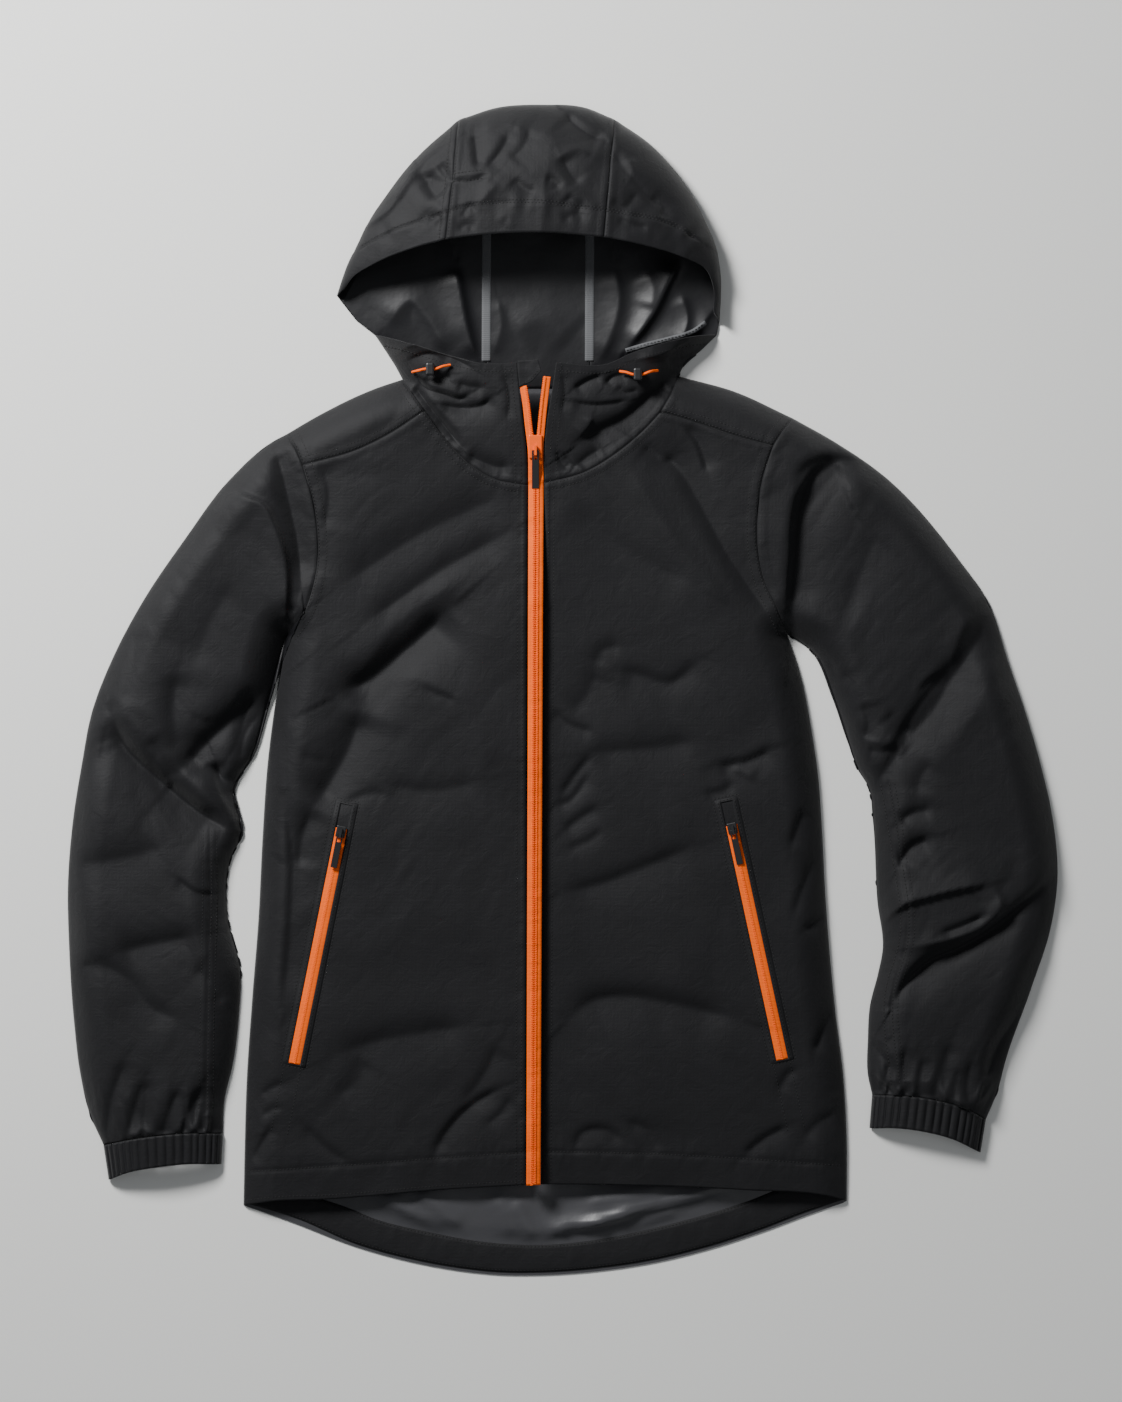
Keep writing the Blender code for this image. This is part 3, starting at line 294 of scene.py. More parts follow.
COLLAR_FOLDS = {
    "right": [
        ([(-140, 300), (-132, 288), (-112, 280), (-95, 276), (-86, 281)], 5, 4.0, 0.5),
        ([(-100, 290), (-88, 287), (-74, 286)], 4, 2.2, 0.3),
        ([(-118, 270), (-95, 267), (-75, 270), (-64, 278)], 5, 3.6, 0.4),
        ([(-152, 310), (-128, 318), (-100, 312), (-84, 303)], 4, 2.6, 0.4),
        ([(-165, 318), (-135, 326), (-108, 312)], 4, -2.0, 0.4),
        ([(-142, 290), (-125, 267), (-110, 248), (-96, 230)], 8, 6.0, 0.4),
        ([(-92, 223), (-76, 216), (-60, 211), (-48, 212)], 7, 3.2, 0.2),
        ([(-56, 300), (-50, 280), (-52, 255)], 4, 1.4, 0.3),
        ([(-130, 300), (-115, 296), (-104, 298)], 4, 2.6, 0.3),
        ([(-118, 240), (-110, 236), (-104, 240)], 3, -1.6, 0.0),
    ],
    "left": [
        ([(10, 284), (22, 292), (38, 298)], 4, 3.0, 0.4),
        ([(8, 273), (25, 270), (45, 271), (62, 274)], 4, 2.4, 0.5),
        ([(40, 288), (46, 295), (62, 299)], 4, 2.8, 0.3),
        ([(52, 288), (58, 282), (72, 284)], 3, 1.8, 0.3),
        ([(14, 232), (32, 244), (58, 257), (84, 279), (108, 302)], 13, 7.0, 0.45),
        ([(13, 212), (24, 221), (36, 228)], 6, 2.6, 0.3),
        ([(28, 258), (25, 250), (16, 240)], 4, -2.0, 0.5),
        ([(95, 312), (120, 318), (140, 332)], 5, 2.8, 0.4),
        ([(70, 312), (95, 318), (118, 330)], 4, -1.8, 0.4),
        ([(0, 300), (2, 285), (0, 262)], 4, 1.3, 0.3),
        ([(-6, 226), (-2, 216), (6, 208)], 3, 2.0, 0.3),
        ([(2, 222), (8, 214), (14, 210)], 3, 1.6, 0.3),
    ],
}

HEM_STITCH = {"right": [(-303, -457), (-200, -450), (-110, -443), (-34, -438)],
              "left": [(-20, -437), (100, -440), (200, -446), (267, -451)]}
FOREARM_SEAM = {"right": [(-334, -132), (-334, -200), (-336, -300), (-338, -400)],
                "left": [(308, -88), (318, -150), (326, -235), (312, -290), (318, -375)]}

# Hood panels in their order across
HOOD = {
    "right": {
        "rim": [(-207, 380), (-198, 391), (-179, 402), (-145, 415), (-110, 424)],
        "crown": [(-214, 374), (-202, 406), (-169, 465), (-135, 508), (-98, 541)],
        "neck": [(-196, 351), (-178, 337), (-168, 322), (-159, 308), (-152, 295), (-72, 286)],
    },
    "centre": {
        "rim": [(-110, 424), (-77, 428), (-19, 430), (39, 426)],
        "crown": [(-98, 541), (-59, 553), (-19, 555.5), (20, 553), (50, 541)],
        "neck": [(-72, 286), (26, 286)],
    },
    "left": {
        "rim": [(39, 426), (75, 419), (114, 408), (136, 397), (143, 380), (143, 358)],
        "crown": [(50, 541), (83, 518), (116, 480), (135, 446), (146, 418), (150, 376), (149, 350)],
        "neck": [(26, 286), (110, 298), (116, 310), (131, 322), (146.5, 337)],
    },
}
RIM_HEIGHT = [(-214, 9), (-200, 20), (-170, 38), (-110, 57), (-20, 64), (60, 58), (115, 42),
              (140, 26), (146, 14)]
HOOD_FOLDS = [
    ([(-190, 435), (-165, 450), (-150, 470), (-130, 500), (-100, 520)], 5, -2.6, 0.5),
    ([(-155, 460), (-145, 475), (-135, 490)], 4, -1.6, 0.4),
    ([(-134, 490), (-128, 476), (-118, 462)], 8, 5.0, 0.4),
    ([(-130, 488), (-118, 482), (-106, 478)], 5, 2.4, 0.3),
    ([(-118, 498), (-112, 488), (-104, 478)], 4, 3.4, 0.3),
    ([(-106, 480), (-90, 479), (-72, 484)], 3, 2.6, 0.4),
    ([(-84, 526), (-82, 508), (-80, 492)], 5, 3.2, 0.4),
    ([(-50, 526), (-58, 510), (-72, 492)], 6, 3.2, 0.4),
    ([(-30, 530), (-36, 515), (-50, 500)], 8, 2.6, 0.4),
    ([(-78, 530), (-50, 533), (-34, 526)], 5, -1.8, 0.4),
    ([(-60, 478), (-74, 462), (-86, 450)], 5, -1.5, 0.3),
    ([(-46, 482), (-38, 474), (-25, 468)], 5, 2.8, 0.3),
    ([(-16, 482), (-8, 480), (-2, 472)], 5, 3.0, 0.3),
    ([(0, 503), (6, 488), (16, 475)], 6, 3.4, 0.3),
    ([(4, 466), (10, 460), (21, 454)], 5, 3.2, 0.3),
    ([(-6, 500), (14, 509), (28, 504)], 5, -2.0, 0.3),
    ([(2, 547), (20, 531), (40, 520)], 8, 4.2, 0.5),
    ([(45, 515), (62, 488), (78, 470), (98, 452)], 12, 3.2, 0.5),
    ([(45, 462), (58, 455), (72, 470)], 6, 2.8, 0.3),
    ([(52, 445), (64, 438), (82, 436)], 4, 2.2, 0.3),
    ([(62, 502), (66, 488), (62, 478)], 6, -2.0, 0.3),
    ([(84, 466), (96, 457), (94, 444)], 5, 2.2, 0.3),
    ([(-136, 441), (-128, 447), (-120, 443)], 4, 2.0, 0.0),
    ([(-120, 449), (-116, 443), (-118, 436)], 3, 1.9, 0.0),
    ([(-98, 432), (-90, 438), (-82, 434)], 4, 1.9, 0.0),
    ([(-95, 446), (-86, 455), (-82, 449)], 3, 2.8, 0.0),
    ([(-62, 440), (-51, 447), (-48, 432)], 5, -1.5, 0.0),
    ([(0, 440), (10, 447), (22, 445)], 4, 2.2, 0.0),
]
# Seen through the opening: ridges of the lining
LINING_FOLDS = [
    ([(-101, 404), (-96, 372), (-90, 342), (-82, 312)], 8, -6.0, 0.4),
    ([(-168, 345), (-142, 369), (-128, 354), (-108, 318)], 11, -4.0, 0.3),
    ([(-62, 372), (-58, 345), (-66, 318)], 8, -1.8, 0.3),
    ([(-48, 340), (-20, 350), (8, 330)], 20, -2.6, 0.0),
    ([(34, 312), (46, 336), (54, 366), (50, 402)], 10, -3.6, 0.4),
    ([(60, 322), (88, 360), (100, 385), (113, 410)], 8, -6.5, 0.5),
    ([(62, 320), (100, 332), (126, 340), (144, 362)], 6, -4.5, 0.4),
    ([(112, 330), (119, 350), (113, 376)], 6, -2.6, 0.3),
    ([(80, 397), (86, 380), (83, 360)], 9, -2.4, 0.3),
]
TAIL_FOLDS = [
    ([(-176, -478), (-140, -500), (-108, -520)], 8, -4.6, 0.3),
    ([(-140, -476), (-115, -494), (-95, -512)], 8, -3.4, 0.2),
    ([(-62, -478), (-54, -500), (-50, -522)], 8, -2.6, 0.1),
    ([(-45, -482), (-38, -500), (-26, -524)], 9, -3.6, 0.1),
    ([(-22, -523), (2, -512), (40, -508), (80, -494)], 6, -5.0, 0.5),
    ([(8, -516), (60, -497), (110, -485), (162, -474)], 6, -5.0, 0.5),
    ([(62, -519), (78, -508), (112, -496)], 5, -3.2, 0.4),
    ([(20, -490), (60, -482), (100, -476)], 6, -3.2, 0.4),
]
HOOD_SEAMS = {"right": [(-110, 424), (-98, 541)], "left": [(39, 426), (50, 541)],
              "short": [(-106, 480), (-72, 484)]}
BRIM_STITCH = [(-190, 418), (-165, 431), (-140, 440), (-118, 447), (-90, 455), (-60, 458),
               (-20, 458), (20, 453), (60, 448), (100, 440), (128, 425)]
TAIL = [(-303, -489.5), (-256, -506), (-196, -529), (-136, -545), (-96, -552), (-56, -555.8),
        (-20, -555.8), (34, -552), (87, -544), (140, -531), (192, -514), (235, -498), (270, -486)]
TAIL_BAND = [(-290, -478), (-245, -480), (-206, -491), (-176, -503), (-126, -515), (-76, -524),
             (-20, -527), (34, -522), (87, -511), (130, -500), (172, -487), (222, -470),
             (258, -470)]
TAIL_BAND_EDGE = [(-300, -487.5), (-252, -502), (-196, -526), (-136, -542), (-96, -549),
                  (-56, -553), (-20, -553), (34, -549), (87, -541), (140, -528), (192, -511),
                  (228, -497), (267, -484)]
BACK_NECK = [(-152, 295), (-72, 286), (26, 286), (110, 298)]
HOOD_TAPES = {"right": [(-72.5, 312), (-72, 455)], "left": [(25.5, 312), (26, 455)]}
FACING_EDGE = [(60, 322), (80, 328), (100, 333), (125, 341), (136, 349)]
ZIP_OPEN = {"right": [(-29.6, 228), (-32.2, 250), (-34.4, 270), (-37, 287)],
            "left": [(-21.4, 228), (-19.6, 250), (-17.6, 270), (-14.4, 296)]}
FLAP = {"turned": [(-41, 286), (-29, 291), (-20, 301)], "top": [(-42, 311), (-23, 312)],
        "stitch": [(-38, 289), (-30, 293.5), (-23, 302)]}

# Cross sections of the trims: offset to the line's left and lift over the cloth
TAPE_PROFILE = [(-4.25, 0.1), (-3.75, 0.5), (-1.7, 0.6), (1.7, 0.6), (3.75, 0.5), (4.25, 0.1)]
FACING_PROFILE = [(-2.2, 0.2), (-1.8, 0.7), (0, 0.9), (1.8, 0.7), (2.2, 0.2)]
ZIP_PROFILE = [(-3.35, 0), (-2.9, 0.55), (-2, 0.8), (-1.1, 0.55), (-0.5, 0), (0.4, -0.05),
               (2, -0.05), (3.1, -0.1), (3.35, -0.3)]
POCKET_PROFILE = [(-6, 0.1), (-5.5, 0.5), (-2.6, 0.5), (-2.1, 0.6), (-1.1, 0.95), (0, 1.05),
                  (1.1, 0.95), (2.1, 0.6), (2.6, 0.5), (5.5, 0.5), (6, 0.1)]
# Share of the way from the welt's inner to its outer ring, and lift over the cloth
WELT_PROFILE = [(0, 0.3), (0.1, 0.95), (0.25, 1.15), (0.45, 0.9), (0.7, 0.45), (1, 0.02)]

CORDS = {
    "right": {"lock": (-125, 303), "ends": [(-142, 301), (-106, 307)]},
    "left": {"lock": (71, 298), "ends": [(54, 301), (90, 302)]},
}
CORD_D = 2.6
CORD_IN_LOCK = 5.2       # height of the cord over the cloth, inside its lock
CORD_AT_RIM = 1.6        # and where it leaves the rim
LOCK_HALF = 5.0          # half of the straight stretch inside the lock


# ---------------------------------------------------------------- view
PHOTO_HEIGHT = 1331.9     # of garment, in mm, over the photograph's height
PHOTO_CENTRE = (-1.4, -10.45)
CAMERA_HEIGHT = 6.0
SENSOR = 24.0


def placed(name, data):
    """New object in the scene, at the origin."""
    made = bpy.data.objects.new(name, data)
    bpy.context.scene.collection.objects.link(made)
    return made


def camera():
    """Long lens straight above the garment, at the photograph's framing."""
    lens = bpy.data.cameras.new("camera")
    lens.sensor_fit = "VERTICAL"
    lens.sensor_height = SENSOR
    lens.lens = SENSOR * CAMERA_HEIGHT / (PHOTO_HEIGHT * MM)
    seen = placed("camera", lens)
    seen.location = (PHOTO_CENTRE[0] * MM, PHOTO_CENTRE[1] * MM, CAMERA_HEIGHT)
    bpy.context.scene.camera = seen


camera()

# ---------------------------------------------------------------- materials
SHELL_DARK = "#0b0b0e"
SHELL_LIGHT = "#101013"
WEAVE_SCALE = 240.0       # bands 1.3 mm apart
RIBS_PER_MM = 314.0       # a wave texture's scale for bands 1 mm apart


def linear(value):
    """sRGB hex colour as linear red, green, blue and alpha."""
    parts = [int(value[i:i + 2], 16) / 255 for i in (1, 3, 5)]
    return (*[c / 12.92 if c <= 0.04045 else ((c + 0.055) / 1.055)**2.4 for c in parts], 1.0)


def add(tree, kind, links=None, **settings):
    """Adds a node: settings name its properties or its inputs, links its linked inputs."""
    made = tree.nodes.new(kind)
    for key, value in settings.items():
        if hasattr(made, key):
            setattr(made, key, value)
        else:
            made.inputs[key.replace("_", " ")].default_value = value
    for key, source in (links or {}).items():
        tree.links.new(source, made.inputs[key])
    return made


def finish(name, colour, roughness, **more):
    """New Principled material with its constants on the shader's own sockets."""
    made = bpy.data.materials.new(name)
    made.use_nodes = True
    shader = made.node_tree.nodes["Principled BSDF"]
    shader.inputs["Base Color"].default_value = linear(colour)
    shader.inputs["Roughness"].default_value = roughness
    for key, value in more.items():
        shader.inputs[key.replace("_", " ")].default_value = value
    return made, made.node_tree, shader


def patterned(name, colour, roughness, texture, pattern, strength, relief, **more):
    """Finish with one fine pattern as bump: pattern holds the texture node's settings, and
    relief is its height in metres."""
    made, tree, shader = finish(name, colour, roughness, **more)
    where = add(tree, "ShaderNodeTexCoord").outputs["Object"]
    drawn = add(tree, texture, {"Vector": where}, **pattern)
    bump = add(tree, "ShaderNodeBump", {"Height": drawn.outputs["Fac"]}, Strength=strength,
               Distance=relief)
    tree.links.new(bump.outputs["Normal"], shader.inputs["Normal"])
    return made


def woven_shell():
    """Matt face of a nylon rain shell. Plain weave: threads are 0.3 mm, drawn at 1.3 mm so that
    they show. Sheen lifts the cloth where it turns away, as fine yarn does."""
    made, tree, shader = finish("woven_shell", SHELL_DARK, 0.68, Specular_IOR_Level=0.28,
                                Sheen_Weight=0.1, Sheen_Roughness=0.5)
    where = add(tree, "ShaderNodeTexCoord").outputs["Object"]
    warp, weft = (add(tree, "ShaderNodeTexWave", {"Vector": where}, bands_direction=way,
                      Scale=WEAVE_SCALE, Distortion=0.6, Detail=1.0).outputs["Fac"]
                  for way in "XY")
    weave = add(tree, "ShaderNodeMath", {0: warp, 1: weft}, operation="MULTIPLY")
    cloudy = add(tree, "ShaderNodeTexNoise", {"Vector": where}, Scale=30.0, Detail=6.0)
    tone = add(tree, "ShaderNodeValToRGB", {"Fac": cloudy.outputs["Fac"]})
    for stop, place, colour in zip(tone.color_ramp.elements, (0.3, 0.75), (SHELL_DARK, SHELL_LIGHT)):
        stop.position = place
        stop.color = linear(colour)
    tree.links.new(tone.outputs["Color"], shader.inputs["Base Color"])
    small = add(tree, "ShaderNodeBump", {"Height": weave.outputs[0]}, Strength=0.2,
                Distance=0.0004)
    handled = add(tree, "ShaderNodeTexNoise", {"Vector": where}, Scale=70.0, Detail=8.0,
                  Roughness=0.62, Distortion=0.8)
    large = add(tree, "ShaderNodeBump", {"Height": handled.outputs["Fac"],
                                         "Normal": small.outputs["Normal"]},
                Strength=0.32, Distance=0.0022)
    tree.links.new(large.outputs["Normal"], shader.inputs["Normal"])
    return made


def coated_lining(name, colour, roughness):
    """Satin polyurethane coating on the cloth's inside, smooth with fine crazing."""
    return patterned(name, colour, roughness, "ShaderNodeTexNoise", {"Scale": 60.0, "Detail": 6.0},
                     0.3, 0.0016, Specular_IOR_Level=0.45)


def woven_tape(name, colour, pitch):
    """Dull woven tape with ribs across it, at the given pitch in millimetres."""
    return patterned(name, colour, 0.7, "ShaderNodeTexWave",
                     {"bands_direction": "Y", "Scale": RIBS_PER_MM / pitch}, 0.35, 0.0003,
                     Specular_IOR_Level=0.2)


def moulded(name, colour, roughness, **more):
    """Moulded or painted part with a faint orange-peel surface."""
    return patterned(name, colour, roughness, "ShaderNodeTexNoise",
                     {"Scale": 900.0, "Detail": 2.0}, 0.12, 0.0003, **more)


SHELL = woven_shell()
# The hood's lining is the same coating as the tail's, painted darker: its colour holds painted shade
# for the shadow under the brim, while the tail's keeps the coating's own lighter grey.
SHADE_DARKENED_LINING = coated_lining("coated_lining", "#121215", 0.47)
TAIL_LINING = coated_lining("silvery_tail_lining", "#3f3f42", 0.4)
SEAM_TAPE = woven_tape("welded_seam_tape", "#5c5d5f", 2.0)
ZIP_TAPE = woven_tape("orange_zip_tape", "#ff6600", 1.3)
COIL = moulded("orange_nylon_coil", "#ff6c08", 0.42)
PAINT = moulded("orange_painted_zinc", "#ff6200", 0.34, Coat_Weight=0.3)
RUBBER = moulded("black_moulded_pull", "#1b1b1d", 0.45)
ELASTIC = woven_tape("orange_braided_elastic", "#ff6404", 1.2)
# Black thread, set darker than the shell so that each row of stitches also carries painted shade for
# the dent the thread pulls in the cloth.
THREAD_AND_SEAM_SHADE = moulded("black_thread_and_painted_seam_shade", "#050506", 0.75)


# ---------------------------------------------------------------- lines
def running(line):
    """Length along a line at each of its points."""
    return np.r_[0, np.cumsum(np.linalg.norm(np.diff(line, axis=0), axis=1))]


def at_lengths(line, lengths):
    """Points of a line at the given lengths along it."""
    run = running(line)
    return np.column_stack([np.interp(lengths, run, column) for column in line.T])


def path(points, parts):
    """Line with straight stretches, cut by length at the given fractions, or into that many
    equal parts."""
    knots = np.array(points, float)
    share = np.linspace(0, 1, parts + 1) if np.isscalar(parts) else np.asarray(parts)
    return at_lengths(knots, share * running(knots)[-1])


def curve(points, parts):
    """Smooth line through the points, cut as path does. Each span is a cubic with the
    tangents of a parabola through three points."""
    knots = np.array(points, float)
    chord = running(knots)
    if len(knots) > 2:
        tangent = np.gradient(knots, chord, axis=0)
    else:
        tangent = np.tile((knots[1] - knots[0]) / chord[1], (2, 1))
    along = np.linspace(0, chord[-1], 24 * len(knots) + 1)
    span = np.clip(np.searchsorted(chord, along, side="right") - 1, 0, len(knots) - 2)
    width = (chord[span + 1] - chord[span])[:, None]
    t = (along - chord[span])[:, None] / width
    line = ((2 * t**3 - 3 * t**2 + 1) * knots[span] + (t**3 - 2 * t**2 + t) * width * tangent[span]
            + (3 * t**2 - 2 * t**3) * knots[span + 1] + (t**3 - t**2) * width * tangent[span + 1])
    return path(line, parts)


def join(*lines):
    """End-to-end lines as one, without the doubled points."""
    return np.vstack([lines[0]] + [line[1:] for line in lines[1:]])


def crowded(count, crowd=0.85):
    """Fractions from 0 to 1 that crowd at both ends: a cosine mixed with equal steps."""
    s = np.linspace(0, 1, count + 1)
    return crowd * (1 - np.cos(np.pi * s)) / 2 + (1 - crowd) * s


def lefts(line):
    """Unit vectors to the left of a plan line."""
    ahead = np.gradient(line, axis=0)
    left = np.column_stack([-ahead[:, 1], ahead[:, 0]])
    return left / np.maximum(np.linalg.norm(left, axis=1, keepdims=True), 1e-9)


def shifted(line, offset):
    """The line moved sideways, to its left where the offset is positive."""
    return line + lefts(line) * offset


def beside(x, y, line):
    """Signed plan distance to a polyline, positive on its left, and the share of its length
    at the nearest point."""
    line = np.asarray(line, float)
    start, run = line[:-1], np.diff(line, axis=0)
    point = np.stack([x, y], axis=-1)[..., None, :] - start
    share = np.clip((point * run).sum(-1) / (run**2).sum(-1), 0, 1)
    off = point - share[..., None] * run
    gap = np.linalg.norm(off, axis=-1)
    nearest = gap.argmin(-1)[..., None]
    side = np.sign(run[:, 0] * off[..., 1] - run[:, 1] * off[..., 0])
    before = running(line)
    where = (before[:-1] + share * np.diff(before)) / before[-1]
    pick = [np.take_along_axis(a, nearest, -1)[..., 0] for a in (gap, side, where)]
    return pick[0] * np.where(pick[1] < 0, -1, 1), pick[2]


def distance(x, y, line):
    """Shortest plan distance to a polyline."""
    return np.abs(beside(x, y, line)[0])


def near_box(x, y, line, margin):
    """Which plan points lie in the line's bounding box, widened by a margin."""
    low, high = line.min(0) - margin, line.max(0) + margin
    return (x > low[0]) & (x < high[0]) & (y > low[1]) & (y < high[1])


def armhole(side, yoke_parts=8, front_parts=40):
    """Armhole seam from the shoulder down to the side."""
    lines = LINES[side]
    return join(path(lines["armhole_yoke"], yoke_parts), curve(lines["armhole_front"], front_parts))


# ---------------------------------------------------------------- relief of the cloth
def ramp(value, width):
    """Straight rise from 0 to 1 over the width, level beyond it."""
    return np.clip(value / width, 0, 1)


def eased(t):
    """Cubic step from 0 to 1: three t squared less two t cubed."""
    return t * t * (3 - 2 * t)


def hump(far, width, power=2):
    """Hump of height 1 over a distance of 0: e to the minus power of distance over width."""
    return np.exp(-(far / width)**power)


def creased(x, y, folds):
    """Sum of folds: each falls off across its line from a crisp crest, faster on its shaded
    side, and it fades over the last fifth of its length at either end."""
    total = np.zeros_like(x)
    for points, width, depth, lean in folds:
        line = curve(points, 20)
        inside = near_box(x, y, line, 5 * width)
        if not inside.any():
            continue
        off, share = beside(x[inside], y[inside], line)
        run = line[-1] - line[0]
        towards_light = LIT_FROM[1] * run[0] - LIT_FROM[0] * run[1]
        tilt = min(LEAN_GAIN * lean, MOST_TILT) * np.sign(depth * towards_light)
        reach = FOLD_REACH * width * np.where(off > 0, 1 - tilt, 1 + tilt)
        end = eased(ramp(np.minimum(share, 1 - share), END_SHARE))
        across = np.exp(-np.abs(off / reach)**CREST_POWER)
        total[inside] -= depth * across * (END_DEPTH + (1 - END_DEPTH) * end)
    return total


def rolling(x, y, cell, seed):
    """Smooth random relief between -1 and 1: values on a lattice, blended with a cubic."""
    table = np.random.default_rng(seed).uniform(-1, 1, (LATTICE, LATTICE))
    u, v = x / cell + LATTICE_START, y / cell + LATTICE_START
    i, j = np.floor(u).astype(int), np.floor(v).astype(int)
    fu, fv = eased(u - i), eased(v - j)
    at = [table[(i + a) % LATTICE, (j + b) % LATTICE] for a in (0, 1) for b in (0, 1)]
    return (at[0] * (1 - fu) * (1 - fv) + at[1] * (1 - fu) * fv + at[2] * fu * (1 - fv)
            + at[3] * fu * fv)


def crumpled(x, y, turn, seed):
    """Small sharp creases of handled nylon: the absolute value of smooth random relief has a
    crease wherever it crosses zero. They run mostly along the given direction, in degrees,
    and come in patches."""
    angle = math.radians(turn)
    wander = CREASE_WANDER * rolling(x, y, WANDER_CELL, seed + 1)
    along = x * math.cos(angle) + y * math.sin(angle) + wander
    across = y * math.cos(angle) - x * math.sin(angle) + wander
    relief = sum(height * np.abs(rolling(along / CREASE_STRETCH, across, cell, seed + 2 + number))
                 for number, (cell, height) in enumerate(CREASE_SIZES))
    return relief * (0.75 + 0.6 * rolling(x, y, PATCH_CELL, seed))


EDGES = {side: [curve(lines[name], 40) for name in
                ("hood_edge", "shoulder", "sleeve_outer", "sleeve_inner", "side")]
         for side, lines in LINES.items()}
NECK = {side: join(path(lines["neck_yoke"], 8), curve(lines["neck_front"], 24))
        for side, lines in LINES.items()}
# Sewn lines: line, width of the doubled cloth beside it, height and reach of the puckers
SEWN = {side: [(NECK[side], 7.0, 0.6, 9.0),
               (curve(lines["yoke_seam"], 16), 7.0, 0.4, 9.0),
               (armhole(side, 6, 20), 9.5, 0.55, 9.0),
               (curve(HEM_STITCH[side], 20), 0.0, 0.8, 10.0),
               (curve(FOREARM_SEAM[side], 20), 5.5, 0.5, 8.0),
               (path(lines["zip_edge"], 30), 6.0, 0.45, 8.0),
               (curve(lines["cuff_top"], 20), 0.0, 4.5, 18.0)]
        for side, lines in LINES.items()}


def seam_relief(x, y, side):
    """Valley along each sewn seam, a doubled band beside it, and small puckers that die out
    within a centimetre or two."""
    total = np.zeros_like(x)
    for number, (line, band, pucker, spread) in enumerate(SEWN[side]):
        inside = near_box(x, y, line, 3 * spread)
        if not inside.any():
            continue
        off, share = beside(x[inside], y[inside], line)
        far = np.abs(off)
        along = share * running(line)[-1]
        waves = 1 - 2.2 * np.abs(rolling(along, off * 0.3, PUCKER_PITCH, SEEDS["seams"] + number))
        held = 1 - hump(far, HELD_WIDTH)
        height = pucker * waves * held * np.exp(-far / spread)
        height -= VALLEY_DEPTH * hump(far, VALLEY_WIDTH)
        if band:
            height += BAND_LIFT * hump(far - band / 2, band * 0.45, 4)
        total[inside] += height
    return total


def upper_height(x, y, side, lift, collar=False):
    """Height of the upper layer's outer face: a small quarter round at the folded edge, a
    parabola inside it, the lift table, folds, seams and a low random roll. The collar also
    rises slowly from the neck seam."""
    near = np.min([distance(x, y, line) for line in EDGES[side]], axis=0)
    filled = np.interp(y, *np.array(lift, float).T)
    round_off = np.sqrt(np.clip(1 - (1 - ramp(near, EDGE_ROUND))**2, 0, 1))
    height = EDGE_FOOT + (EDGE_Z - EDGE_FOOT) * round_off + filled * (1 - (1 - ramp(near, TURN))**2)
    folds = FOLDS[side] + COLLAR_FOLDS[side] if collar else FOLDS[side]
    soft = FOLD_GAIN * creased(x, y, folds) + ROLL_HEIGHT * rolling(x, y, ROLL_CELL, SEEDS["roll"])
    sleeve = lift is SLEEVE_LIFT
    turn = CRUMPLE_TURN if (side == "right") != sleeve else -CRUMPLE_TURN
    soft += (SLEEVE_CRUMPLE if sleeve else BODY_CRUMPLE) * crumpled(x, y, turn, SEEDS["crumple"])
    height += soft * ramp(near, FOLD_FADE) + seam_relief(x, y, side) * ramp(near, SEAM_FADE)
    if collar:
        up = ramp(distance(x, y, NECK[side]), COLLAR_DEPTH)
        height += COLLAR_RISE * up * ramp(near, TURN)
    return np.maximum(height, EDGE_FOOT + KEPT_RISE * ramp(near, KEPT_WIDTH))


# ---------------------------------------------------------------- grids and meshes
def coons(bottom, top, outer, inner):
    """Fills four border lines: straight blends between each pair, less the corners' blend."""
    def share(one, other):
        """Share of length at each point, the mean of two facing lines."""
        runs = running(one), running(other)
        return (runs[0] / runs[0][-1] + runs[1] / runs[1][-1]) / 2
    u = share(bottom, top)[None, :, None]
    v = share(outer, inner)[:, None, None]
    corners = ((1 - u) * (1 - v) * bottom[0] + u * (1 - v) * bottom[-1]
               + (1 - u) * v * top[0] + u * v * top[-1])
    return ((1 - v) * bottom[None] + v * top[None] + (1 - u) * outer[:, None]
            + u * inner[:, None] - corners)


def between(low, high, shares):
    """Grid whose rows go straight from one line to another, at the given shares."""
    t = np.asarray(shares, float)[:, None, None]
    return low[None] * (1 - t) + high[None] * t


def lifted(plan, height):
    """Plan points with their heights as a third coordinate."""
    return np.concatenate([plan, np.asarray(height)[..., None]], axis=-1)


def grid_normals(grid, seen):
    """Unit normals of a grid, turned so that the one at the seen point looks up."""
    normal = np.cross(np.gradient(grid, axis=1), np.gradient(grid, axis=0))
    normal /= np.maximum(np.linalg.norm(normal, axis=-1, keepdims=True), 1e-9)
    return -normal if normal[seen][2] < 0 else normal


def numbered(grid, first=0):
    """Numbers of a grid's points, row by row."""
    rows, columns = grid.shape[:2]
    return np.arange(rows * columns).reshape(rows, columns) + first


def cells(index):
    """Corner numbers of every cell of a grid of point numbers."""
    return np.stack([index[:-1, :-1], index[:-1, 1:], index[1:, 1:], index[1:, :-1]],
                    -1).reshape(-1, 4)


def piece(name, vertices, faces, materials, which=None, smooth=True):
    """Mesh object from points in millimetres, with a material number for each face."""
    mesh = bpy.data.meshes.new(name)
    mesh.from_pydata((vertices * MM).tolist(), [], faces)
    for material in materials:
        mesh.materials.append(material)
    if which is not None:
        mesh.polygons.foreach_set("material_index", which.astype(np.int32))
    if smooth:
        mesh.shade_smooth()
    mesh.update()
    return placed(name, mesh)


def walled(name, outer, inner, index, rim, outwards, finishes):
    """Closed wall between two grids: outer face, lining and rim, turned so that the outer
    face looks outwards."""
    face = cells(index)
    faces = np.vstack([face, face[:, ::-1] + outer[..., 0].size, rim])
    if not outwards:
        faces = faces[:, ::-1]
    which = np.repeat([0, 1, 0], [len(face), len(face), len(rim)])
    return piece(name, np.vstack([outer.reshape(-1, 3), inner.reshape(-1, 3)]), faces.tolist(),
                 finishes, which)


